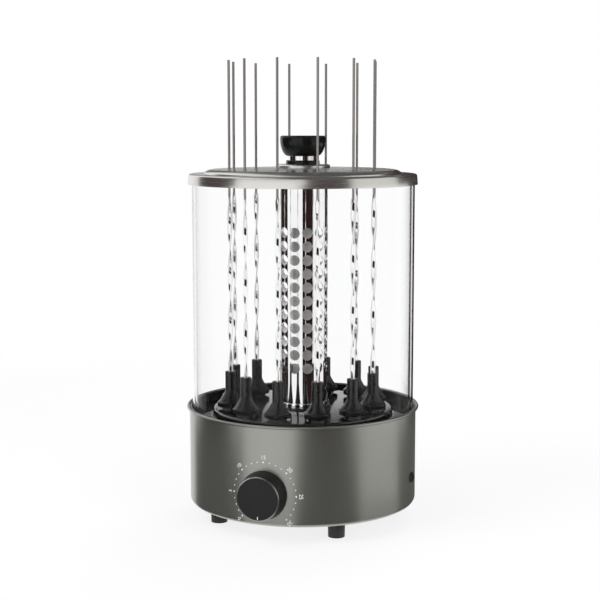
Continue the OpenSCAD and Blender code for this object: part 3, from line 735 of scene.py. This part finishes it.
# %% Spin the glass
GLASS_WALL = 3
FINE_TURNS = 192         # steps round a large mirror-like piece
glass_in = GLASS_R - GLASS_WALL
edge = GLASS_WALL * 0.42
glass = spun("glass_sleeve", rounded([
    (GLASS_R, glass_low.z, edge), (GLASS_R, glass_high.z, edge),
    (glass_in, glass_high.z, edge), (glass_in, glass_low.z, edge)]), AXIS, FINE_TURNS)
settle(glass, GLASS, "glass", "clear_glass", "glass_cylinder")


# %% [markdown]
# ## The shields
#
# Each skewer stands in a black moulding: a neck with a slot, a cone that throws the fat
# outwards, and a short skirt. The cone is slightly hollow, as mouldings of this kind are, so
# its side is a shallow arc and not a straight line.

# %% Outline a shield
SHIELD_R, NECK_R, SHIELD_WALL = 13.2, 5.4, 1.2
SKIRT, CONE_TOP = 4.4, 14.9          # heights above the shield's lower edge
SLOT_L, SLOT_W, SLOT_DEPTH = 6.0, 2.3, 15.7
CONE_HOLLOW = 0.35                   # how deep the cone's side is drawn in
SOCKET_R = 5.0                       # inside, round the spindle's head

shield_low, shield_high = levels("shield_1")
shield_h = shield_high.z - shield_low.z


def cone_side(steps=8):
    """The hollow side of the cone, from the skirt up to the neck, with no fillets."""
    start, stop = Vector((SHIELD_R - 1.0, SKIRT)), Vector((NECK_R + 0.25, CONE_TOP))
    across = (stop - start).normalized()
    inward = Vector((-across.y, across.x))
    made = []
    for i in range(1, steps):
        t = i / steps
        point = start.lerp(stop, t) + inward * CONE_HOLLOW * 4 * t * (1 - t)
        made.append((point.x, point.y, 0))
    return made


def shield_outline():
    skirt_in = SHIELD_R - SHIELD_WALL
    corners = [(SHIELD_R, 0, 0.4), (SHIELD_R, SKIRT, 0.9)]
    corners += cone_side()
    corners += [(NECK_R, CONE_TOP + 0.6, 0.6), (NECK_R, shield_h, 0.7),
                (0, shield_h, 0), (0, SLOT_DEPTH, 0), (SOCKET_R, SLOT_DEPTH - 3, 0),
                (SOCKET_R, SKIRT + 4, 0), (skirt_in, SKIRT - 1, 0), (skirt_in, 0, 0.3)]
    return [(r, shield_low.z + z) for r, z in rounded(corners)]


# %% [markdown]
# A boolean takes out what a spun outline can't have: here the slot, and later the lid's
# holes. Where the cut passes very near a corner it leaves slivers, so points closer than a
# few thousandths of a millimetre are joined afterwards.

# %% Spin the shields and cut their slots
SLIVER = 0.005           # mm, below which two points are one
SLOT_OVER = 0.5          # how far the slot's tool reaches past the neck's top


def as_mesh(made):
    """An object's mesh with its modifiers applied."""
    graph = bpy.context.evaluated_depsgraph_get()
    return bpy.data.meshes.new_from_object(made.evaluated_get(graph))


def cut(made, tool):
    """Takes a bmesh out of a piece with a boolean."""
    cutter = finished("cutter", tool)
    taken = made.modifiers.new("cut", "BOOLEAN")
    taken.object = cutter
    taken.solver = "EXACT"
    result = as_mesh(made)
    made.modifiers.clear()
    made.data = result
    bpy.data.objects.remove(cutter)
    bm = bmesh.new()
    bm.from_mesh(result)
    bmesh.ops.remove_doubles(bm, verts=bm.verts, dist=SLIVER * MM)
    bmesh.ops.dissolve_degenerate(bm, edges=bm.edges, dist=SLIVER * MM)
    smoothed(result, bm)


def cut_slot(made, place, turn):
    """Takes the skewer's slot out of a shield's neck."""
    half = Vector((SLOT_L / 2, SLOT_W / 2, SLOT_DEPTH / 2 + SLOT_OVER))
    box = bmesh.new()
    bmesh.ops.create_cube(box, size=2)
    middle = place + Vector((0, 0, shield_high.z - SLOT_DEPTH / 2 + SLOT_OVER))
    box.transform(Matrix.Translation(middle * MM) @ Matrix.Rotation(turn, 4, "Z")
                  @ Matrix.Diagonal((*(half * MM), 1)))
    cut(made, box)


for k in STATIONS:
    shield = spun(f"shield_cap_{k}", shield_outline(), station(k), turns=48)
    cut_slot(shield, station(k), math.radians(30 * k))
    settle(shield, SHIELD_BLACK, f"station_{k}", "shield_black", f"shield_{k}")


# %% [markdown]
# ## The lid
#
# The lid is one pressed sheet: a flared band, a ledge and a dome with a soft shoulder. Its
# metal mirrors the room, so the dome's side is one smooth run: a quarter of an ellipse and,
# inside it, a shallow crown that is level in the middle and leans more towards the shoulder.

# %% Press the lid and punch its holes
LID_T, BAND_H, FLARE_OUT = 1.2, 10.4, 0.9
DOME_R, DOME_RISE, CROWN, SHOULDER = 98.5, 4.3, 2.0, 9.0
LID_HOLE_R, SCREW_HOLE_R, PUNCH_L = 3.3, 2.2, 20
ARC_STEPS = 10
lid_low, lid_high = levels("lid_plate")
lid_r = (lid_high.x - lid_low.x) / 2
ledge_z = lid_low.z + BAND_H


def quarter(r, z, inwards, rise):
    """A quarter of an ellipse that leaves a point upright and grows level further in."""
    turns = [math.pi / 2 * i / ARC_STEPS for i in range(ARC_STEPS)]
    return [(r - inwards * (1 - math.cos(a)), z + rise * math.sin(a), 0) for a in turns]


def dome_side(drop):
    """The dome from its foot to its middle, on a sheet's face that lies drop lower."""
    made = quarter(DOME_R - drop, ledge_z - drop, SHOULDER, DOME_RISE)
    wide = DOME_R - drop - SHOULDER
    for t in (i / ARC_STEPS for i in range(ARC_STEPS)):
        made.append((wide - (wide - SCREW_HOLE_R) * t,
                     lid_high.z - drop - CROWN * (1 - t) ** 2, 0))
    return made + [(SCREW_HOLE_R, lid_high.z - drop, 0)]


band_top = lid_r - FLARE_OUT
lid = spun("lid_pressing", rounded(
    [(lid_r, lid_low.z, 0.3), (band_top, ledge_z, 2.2)] + dome_side(0)
    + dome_side(LID_T)[::-1]
    + [(band_top - LID_T, ledge_z - LID_T, 1.0), (lid_r - LID_T, lid_low.z, 0.3)],
    steps=6), AXIS, FINE_TURNS)
holes = bmesh.new()
for k in STATIONS:
    place = Matrix.Translation((station(k) + Vector((0, 0, ledge_z))) * MM)
    bmesh.ops.create_cone(holes, cap_ends=True, segments=40, radius1=LID_HOLE_R * MM,
                          radius2=LID_HOLE_R * MM, depth=PUNCH_L * MM, matrix=place)
cut(lid, holes)
settle(lid, LID_METAL, "lid", "lid_steel", "lid_plate")


# %% [markdown]
# ## The handle
#
# A black foot stands on the chromed disc, a chromed band shows round the waist, and above it
# the bowl swells to a rim that a finger can hook under. The bowl's side is a quarter of an
# ellipse. The moulding is one spun outline, and the band stays the CAD's own.

# %% Spin the handle
FOOT_R, WAIST_R, BOWL_FOOT_R, BOWL_R = 16.8, 13.5, 14.5, 22.7
BORE_R, BORE_DEPTH = 2.1, 13         # for the screw from below
RIM_H = 3.9
band_low, band_high = levels("handle_band")
handle_low, handle_high = levels("handle_knob")
rim_z = handle_high.z - RIM_H
bore_top = handle_low.z + BORE_DEPTH
bowl_side = quarter(BOWL_R, rim_z, BOWL_R - BOWL_FOOT_R, band_high.z - rim_z)
handle_outline = rounded([
    (0, bore_top, 0), (BORE_R, bore_top, 0), (BORE_R, handle_low.z, 0),
    (FOOT_R, handle_low.z, 0.4), (FOOT_R, band_low.z, 1.3), (WAIST_R, band_low.z, 0),
    (WAIST_R, band_high.z, 0), (BOWL_FOOT_R, band_high.z, 0.3)] + bowl_side[::-1] + [
    (BOWL_R, handle_high.z, 2.2), (12, handle_high.z - 0.5, 3), (0, handle_high.z - 1.2, 0)])
handle = spun("handle_bowl", handle_outline, AXIS, closed=False)
settle(handle, PIANO_BLACK, "lid", "handle_black", "handle_knob")


# %% [markdown]
# ## Trees for pieces that follow a rule
#
# Three things repeat or follow a rule: the guard's holes, the skewers' twist and the dots of
# the scale. Each is a Geometry Nodes tree with named inputs. The helpers below make the tree,
# fill in the modifier's inputs by their identifiers, read the result as a plain mesh and
# take the modifier off again.

# %% Make a tree, fill in its sizes and read the mesh
def new_tree(name, sizes):
    """A Geometry Nodes tree with one float or integer input for each size."""
    tree = bpy.data.node_groups.new(name, "GeometryNodeTree")

    def socket(title, kind, way="INPUT"):
        tree.interface.new_socket(title, in_out=way, socket_type="NodeSocket" + kind)

    socket("Geometry", "Geometry")
    socket("Finish", "Material")
    for key, value in sizes.items():
        socket(key, "Int" if isinstance(value, int) else "Float")
    socket("Geometry", "Geometry", "OUTPUT")
    n = Recipe(tree)
    return tree, n, n.add("GroupInput", pick=None)


def own_place(n):
    """X, Y and Z of a mesh's own points, by name."""
    return n.add("SeparateXYZ", {0: n.add("InputPosition")}, None)


def moved(n, mesh, x, y, z=0.0):
    """A mesh whose points are moved to new places."""
    return n.add("SetPosition", {0: mesh, "Position": n.point(x, y, z)})


def close_tree(n, given, geometry):
    """Ends a tree as the export needs it: real geometry with its material set."""
    real = n.add("RealizeInstances", {0: geometry})
    done = n.add("SetMaterial", {0: real, "Material": given["Finish"]})
    n.add("GroupOutput", {0: done})


def grown(name, tree, finish, sizes, place=Vector((0, 0, 0)), wall=0.0):
    """A plain mesh object made by a tree. A wall above 0 gives the sheet that thickness."""
    seed = linked(name, bpy.data.meshes.new(name))
    grow = seed.modifiers.new("grow", "NODES")
    grow.node_group = tree
    sockets = {s.name: s.identifier for s in tree.interface.items_tree if s.in_out == "INPUT"}
    grow[sockets["Finish"]] = finish
    for key, value in sizes.items():
        grow[sockets[key]] = value
    if wall:
        sheet = seed.modifiers.new("wall", "SOLIDIFY")
        sheet.thickness = wall * MM
        sheet.offset = -1
    mesh = as_mesh(seed)
    seed.modifiers.clear()
    seed.data = mesh
    mesh.transform(Matrix.Translation(place * MM))
    smoothed(mesh)
    return seed


# %% [markdown]
# ## The perforated guard
#
# The sheet is punched flat and then rolled, and the tree does the same. One cell is a square
# with a round hole, made from a small grid: across the grid the points go round the hole,
# and along it they go from the hole to the square's border. Cells are laid side by side and
# row over row, plain strips close the ends, and the sheet is rolled up. Punching a finished
# tube with booleans would leave long thin faces that spoil a mirror finish. The cells are
# flipped, so that they face the way the strips do and all of the sheet's wall lies inwards.

# %% Write the guard's tree
WELD = 0.00002           # metres, below which neighbouring cells share a point


def guard_tree(sizes):
    tree, n, given = new_tree("rolled guard", sizes)
    radius, pitch, first = given["Radius"], given["Pitch"], given["First Row"]
    around = radius * math.tau
    width = around / given["Columns"]
    rows = given["Rows"] - 1.0

    # one cell: x of the grid runs round the hole, y runs from the hole to the border
    cell = n.add("MeshGrid", {0: 1.0, 1: 1.0, 2: 33, 3: 4})
    at = own_place(n)
    turn, share = (at["X"] + 0.5) * math.tau, at["Y"] + 0.5
    cos, sin = n.circle(turn)
    square = n.math("MAXIMUM", n.math("ABSOLUTE", cos), n.math("ABSOLUTE", sin))
    hole = given["Hole Diameter"] / 2.0
    x = n.blend(share, cos * hole, cos * (width / 2.0) / square)
    y = n.blend(share, sin * hole, sin * (pitch / 2.0) / square)
    cell = n.add("FlipFaces", {0: moved(n, cell, x, y)})

    # cells side by side and row over row
    spots = n.add("MeshGrid", {0: around - width, 1: pitch * rows,
                               2: given["Columns"], 3: given["Rows"]})
    cells = n.add("InstanceOnPoints", {"Points": spots, "Instance": cell})
    middle = n.point(0.0, first + pitch * rows / 2.0)
    cells = n.add("Transform", {0: cells, "Translation": middle})

    # plain strips below and above, with the cells' own spacing along the seam
    def strip(low, high):
        flat = n.add("MeshGrid", {0: 1.0, 1: 1.0, 2: 9, 3: 13})
        at = own_place(n)
        x = n.math("TANGENT", at["X"] * (math.pi / 2)) * (width / 2.0)
        flat = moved(n, flat, x, n.blend(at["Y"] + 0.5, low, high))
        line = n.add("MeshLine", {"Count": given["Columns"], "Offset": n.point(width),
                                  "Start Location": n.point((width - around) * 0.5)})
        return n.add("InstanceOnPoints", {"Points": line, "Instance": flat})

    below = strip(0.0, first - pitch / 2.0)
    above = strip(first + pitch * rows + pitch / 2.0, given["Height"])
    flat = n.add("JoinGeometry", {0: [cells, below, above]})
    flat = n.add("RealizeInstances", {0: flat})
    flat = n.add("MergeByDistance", {0: flat, "Distance": WELD})

    # roll the sheet up, with a column of holes over -Y
    at = own_place(n)
    cos, sin = n.circle(at["X"] / radius + given["Seam Turn"])
    rolled = moved(n, flat, cos * radius, sin * radius, at["Y"])
    close_tree(n, given, n.add("MergeByDistance", {0: rolled, "Distance": WELD}))
    return tree


# %% Punch and roll the guard
GUARD_COLUMNS, GUARD_ROWS, GUARD_WALL = 12, 11, 0.8
GUARD_PITCH, GUARD_HOLE, FIRST_ROW = 13.57, 10.6, 40.1
guard_low, guard_high = levels("guard_tube")
guard_sizes = {
    "Radius": (guard_high.x - guard_low.x) / 2 * MM, "Height": (guard_high.z - guard_low.z) * MM,
    "Columns": GUARD_COLUMNS, "Rows": GUARD_ROWS, "Pitch": GUARD_PITCH * MM,
    "Hole Diameter": GUARD_HOLE * MM, "First Row": FIRST_ROW * MM,
    "Seam Turn": math.pi / GUARD_COLUMNS}
guard = grown("guard_sheet", guard_tree(guard_sizes), CHROME, guard_sizes,
              AXIS + Vector((0, 0, guard_low.z)), GUARD_WALL)
settle(guard, CHROME, "base", "chrome_sheet", "guard_tube")

# %% [markdown]
# Round a hole the small faces of a rolled sheet lean up or down by a degree, which a mirror
# finish would show. The normals are therefore set one by one: straight away from the axis on
# the outside and towards it on the inside. Over the last 24 mm the outside's are tipped up a
# little, as where a real sheet is flared to sit in its collar. The inside has gone dull from
# the heat, so its faces get a second finish.

# %% Straighten the guard's normals and dull its inside
FLARE, FLARE_H = 6.5, 24.0           # degrees at the guard's foot, and height in mm
ON_A_SIDE = 0.8                      # cosine that parts the two sides from the cut edges


def away(point):
    """Direction from the machine's axis to a point of a mesh, level."""
    return Vector((point.x - AXIS.x * MM, point.y - AXIS.y * MM, 0)).normalized()


def flared(point):
    """The direction away from the axis, tipped up towards the guard's foot."""
    above = point.z / MM - guard_low.z
    lean = math.tan(math.radians(FLARE)) * max(0.0, 1 - above / FLARE_H)
    return (away(point) + Vector((0, 0, lean))).normalized()


guard.data.materials.append(HEAT_DULLED)
normals = []
for face in guard.data.polygons:
    side = face.normal.dot(away(face.center))
    face.material_index = 1 if side < -ON_A_SIDE else 0
    for i in face.vertices:
        spot = guard.data.vertices[i].co
        normals.append(flared(spot) if side > ON_A_SIDE else -away(spot) if side < -ON_A_SIDE
                       else face.normal)
guard.data.normals_split_custom_set(normals)
print(len(normals), "normals written")

# %% Turn in the guard's upper edge
OPENING_R = 14
guard_r = guard_sizes["Radius"] / MM
turned_r = guard_r - 0.85            # just behind the sheet's inner side
turned_top, turned_low = guard_high.z - 0.1, guard_high.z - 0.9
guard_rim = spun("guard_rim", rounded([
    (turned_r, turned_top, 0), (OPENING_R, turned_top, 0.2), (OPENING_R, turned_low, 0.2),
    (turned_r, turned_low, 0)]), AXIS)
settle(guard_rim, CHROME, "base", "chrome_sheet", "guard_tube")

# %% Spin the collar at the guard's foot
collar_low, collar_high = levels("guard_collar")
collar_r = (collar_high.x - collar_low.x) / 2
collar_in = guard_r + 0.2
collar = spun("guard_foot_ring", rounded([
    (collar_r, collar_low.z, 0.15), (collar_r - 0.5, collar_high.z, 0.3),
    (collar_in, collar_high.z, 0.1), (collar_in, collar_low.z, 0)]), AXIS)
settle(collar, CHROME, "base", "chrome_sheet", "guard_collar")


# %% [markdown]
# ## The skewers
#
# A skewer is one drawn wire. Its lower part is rolled flat and twisted, and its upper part is
# left round. The tree starts from a plain round tube and works out each ring of points by
# its height: first a rounded oblong, then, above the taper, a circle. The turn grows with the
# height until the taper. All twelve skewers use one tree, with their place as an input.

# %% Write the skewers' tree
def skewer_tree(sizes):
    tree, n, given = new_tree("twisted skewer", sizes)
    tube = n.add("MeshCylinder", {"Vertices": 16, "Side Segments": 150, "Radius": 1.0,
                                  "Depth": given["Length"]}, fill_type="NGON")
    at = own_place(n)
    height = at["Z"] + given["Length"] / 2.0

    # 0 on the flat strip and 1 on the round rod
    taper_foot = given["Rod Foot"] - given["Taper"]
    is_rod = n.ramp(height, taper_foot, given["Rod Foot"])
    rod = given["Rod Diameter"] / 2.0
    broad = n.blend(is_rod, given["Strip Width"] / 2.0, rod)
    thin = n.blend(is_rod, given["Strip Thickness"] / 2.0, rod)
    point = n.blend(n.ramp(height, 0.0, given["Point"]), 0.3, 1.0)
    power = n.blend(is_rod, 0.35, 1.0)

    def squared(value, size):
        """The circle's coordinate pushed out towards a rounded oblong."""
        return n.math("POWER", n.math("ABSOLUTE", value), power) * n.math("SIGN", value) * size

    x, y = squared(at["X"], broad) * point, squared(at["Y"], thin)

    # the turn grows between the seat and the taper
    above = n.math("MAXIMUM", height - given["Twist Foot"], 0.0)
    above = n.math("MINIMUM", above, taper_foot - given["Twist Foot"])
    turn = above / given["Twist Pitch"] * math.tau + given["Station Turn"]
    cos, sin = n.circle(turn)

    # for the finish: 0 in the middle of the strip and 1 at its edges, and 1 on the rod
    share = n.math("ABSOLUTE", x) / broad * (1.0 - is_rod)
    for name, value in (("across", share), ("rod", is_rod)):
        tube = n.add("StoreNamedAttribute", {0: tube, "Name": name, "Value": value})
    close_tree(n, given, moved(n, tube, x * cos - y * sin, x * sin + y * cos, height))
    return tree


# %% Roll and twist the skewers
STRIP_W, STRIP_T, ROD_D = 5.0, 1.3, 2.5
ROD_L, TAPER, POINT, TWIST_PITCH = 131, 7.0, 5.0, 100.0
SEAT = 1                             # the strip stays straight this far above its shield
skewer_low, skewer_high = levels("skewer_1")
skewer_l = skewer_high.z - skewer_low.z
skewer_sizes = {
    "Length": skewer_l * MM, "Strip Width": STRIP_W * MM, "Strip Thickness": STRIP_T * MM,
    "Rod Diameter": ROD_D * MM, "Rod Foot": (skewer_l - ROD_L) * MM, "Taper": TAPER * MM,
    "Point": POINT * MM, "Twist Foot": (shield_high.z + SEAT - skewer_low.z) * MM,
    "Twist Pitch": TWIST_PITCH * MM, "Station Turn": 0.0}
twisted = skewer_tree(skewer_sizes)
for k in STATIONS:
    skewer_sizes["Station Turn"] = math.radians(30 * k)
    skewer = grown(f"skewer_wire_{k}", twisted, SKEWER_STEEL, skewer_sizes,
                   station(k) + Vector((0, 0, skewer_low.z)))
    settle(skewer, SKEWER_STEEL, f"skewer_{k}", "skewer_steel", f"skewer_{k}")


# %% [markdown]
# ## The timer's knob
#
# The knob is a deep cap whose side tapers a little. Its face is satin, a narrow turned bevel
# shines round it, and the side is glossier than the face. Three pieces make it: the cap, whose
# face and side share one satin finish here, the bevel and the white pointer. They ride on the
# timer's shaft.

# %% Spin the knob and lay it on its side
KNOB_R, FACE_R = 23.6, 21.4
BEVEL, FACE_SUNK, KNOB_WALL = 0.9, 0.35, 2
HUB_R, HUB_FOOT, SHAFT_R = 6.4, 4.4, 3.1
knob_low, knob_high = levels("timer_knob")
knob_z = (knob_low.z + knob_high.z) / 2
knob_long = knob_high.y - knob_low.y
face_in = FACE_R - BEVEL


def facing_front(made):
    """Turns a piece spun upwards so that it points out of the wall at the timer."""
    place = Matrix.Translation(Vector((0, knob_high.y, knob_z)) * MM)
    made.data.transform(place @ Matrix.Rotation(math.radians(90), 4, "X"))
    return made


cap = facing_front(spun("knob_cap", rounded([
    (0, knob_long - FACE_SUNK, 0), (face_in - 1, knob_long - FACE_SUNK, 0.5),
    (face_in, knob_long - 0.05, 0), (FACE_R, knob_long - BEVEL, 0),
    (KNOB_R, 0, 0.4), (KNOB_R - KNOB_WALL, 0, 0.3),
    (FACE_R - KNOB_WALL, knob_long - 3, 0.5), (HUB_R, knob_long - 3, 0),
    (HUB_R, HUB_FOOT, 0.3), (SHAFT_R, HUB_FOOT, 0.2), (SHAFT_R, knob_long - 4, 0),
    (0, knob_long - 4, 0)], steps=4), Vector((0, 0, 0)), turns=128, closed=False))
settle(cap, KNOB_BLACK, "timer", "knob_black", "timer_knob")

bevel_outline = rounded([
    (face_in - 0.05, knob_long, 0.03), (FACE_R + 0.04, knob_long - BEVEL, 0.03),
    (FACE_R - 0.3, knob_long - BEVEL - 0.2, 0), (face_in - 0.25, knob_long - 0.2, 0)],
    steps=2)
bevel = facing_front(spun("knob_bevel", bevel_outline, Vector((0, 0, 0)), turns=128))
BEVEL_METAL = drawn_metal("turned bevel", (0.42, 0.42, 0.42), 0.26, 0.36, stretch=(1, 1, 1))
settle(bevel, BEVEL_METAL, "timer", "knob_black")

# %% Print the pointer on the knob's face
POINTER_L, POINTER_W, PRINT = 3.4, 0.75, 0.05
WHITE_PRINT = moulding("white print", (0.82, 0.82, 0.8), 0.4, 0.55, peel=0.01, vary=0.04)


def slab(name, low, high):
    """A thin block between two corners, with its corners broken."""
    bm = bmesh.new()
    bmesh.ops.create_cube(bm, size=1)
    low, high = Vector(low) * MM, Vector(high) * MM
    for v in bm.verts:
        v.co = Vector(a + (b - a) * (c + 0.5) for a, b, c in zip(low, high, v.co))
    bmesh.ops.bevel(bm, geom=bm.edges, offset=0.015 * MM, segments=1, affect="EDGES")
    bmesh.ops.recalc_face_normals(bm, faces=bm.faces)
    return finished(name, bm)


pointer_foot = knob_z - face_in + 0.2
pointer = slab("knob_pointer", (-POINTER_W / 2, knob_low.y - PRINT + FACE_SUNK, pointer_foot),
               (POINTER_W / 2, knob_low.y + FACE_SUNK, pointer_foot + POINTER_L))
settle(pointer, WHITE_PRINT, "timer", "knob_black")


# %% [markdown]
# ## The printed scale
#
# The scale is white ink on the curved wall: a dot for each step, a larger dot at each
# number, and the numbers set round the circle. Dots repeat, so a tree makes them. Numbers
# are text objects turned into meshes. Both are laid out flat, then bent round the wall's
# radius and made a closed film that stands a few hundredths of a millimetre proud.

# %% Grow the dots
WALL_R = 114.7
SCALE_R, DOT_R, BIG_DOT_R = 31.9, 0.6, 0.85
DOTS_PER_NUMBER = 4
MINUTES = [0, 5, 10, 15, 20, 25, 30]
SCALE_START = -135.0                 # degrees from the top, where the scale says 0
SCALE_STEP = -2 * SCALE_START / (len(MINUTES) - 1)
FILM_BACK, FILM_FRONT = 0.005, 0.06     # mm, how far a print's two faces stand off the wall


def dots_tree(sizes):
    tree, n, given = new_tree("scale dots", sizes)
    index = n.add("InputIndex")
    cos, sin = n.circle(given["Start"] + index * given["Step"])
    spots = n.add("MeshLine", {"Count": given["Dots"]})
    spots = moved(n, spots, sin * given["Radius"], 0.0, cos * given["Radius"])
    dot = n.add("MeshCircle", {"Vertices": 12, "Radius": 1.0}, fill_type="NGON")
    big = n.math("LESS_THAN", n.math("MODULO", index, given["Dots Per Number"]), 0.5)
    size = n.blend(big, given["Small"], given["Large"])
    upright = n.add("AxisAngleToRotation", {0: (1, 0, 0), 1: math.pi / 2})
    close_tree(n, given, n.add("InstanceOnPoints", {
        "Points": spots, "Instance": dot, "Rotation": upright,
        "Scale": n.point(size, size, size)}))
    return tree


def wrap_on_wall(made):
    """Bends a print laid out flat in X and Z round the wall, as a thin closed film."""
    bm = bmesh.new()
    bm.from_mesh(made.data)
    raised = bmesh.ops.extrude_face_region(bm, geom=bm.faces[:], use_keep_orig=True)["geom"]
    front = {part for part in raised if isinstance(part, bmesh.types.BMVert)}
    for v in bm.verts:
        a = v.co.x / (WALL_R * MM)
        r = (WALL_R + (FILM_FRONT if v in front else FILM_BACK)) * MM
        v.co = Vector((r * math.sin(a), AXIS.y * MM - r * math.cos(a), v.co.z + knob_z * MM))
    bmesh.ops.recalc_face_normals(bm, faces=bm.faces)
    smoothed(made.data, bm)


dot_sizes = {
    "Dots": (len(MINUTES) - 1) * DOTS_PER_NUMBER + 1, "Dots Per Number": DOTS_PER_NUMBER,
    "Start": math.radians(SCALE_START), "Radius": SCALE_R * MM,
    "Step": math.radians(SCALE_STEP / DOTS_PER_NUMBER),
    "Small": DOT_R * MM, "Large": BIG_DOT_R * MM}
dots = grown("scale_dots", dots_tree(dot_sizes), WHITE_PRINT, dot_sizes)
wrap_on_wall(dots)
settle(dots, WHITE_PRINT, "base", "painted_steel")

# %% Set the numbers round the dots
NUMBER_H, NUMBER_R = 5.4, 36.4


def printed(text, height, turn, radius):
    """A mesh of one number, laid flat in X and Z and turned along the circle."""
    words = bpy.data.curves.new(f"print {text}", "FONT")
    words.body = text
    words.size = height * MM
    words.align_x = words.align_y = "CENTER"
    words.resolution_u = 4
    holder = linked(f"print {text}", words)
    mesh = as_mesh(holder)
    bpy.data.objects.remove(holder)
    mesh.transform(Matrix.Rotation(math.radians(turn), 4, "Y")
                   @ Matrix.Translation(Vector((0, 0, radius * MM)))
                   @ Matrix.Rotation(math.pi / 2, 4, "X"))
    return mesh


bm = bmesh.new()
for i, minutes in enumerate(MINUTES):
    bm.from_mesh(printed(str(minutes), NUMBER_H, SCALE_START + SCALE_STEP * i, NUMBER_R))
numbers = finished("scale_numbers", bm)
wrap_on_wall(numbers)
settle(numbers, WHITE_PRINT, "base", "painted_steel")
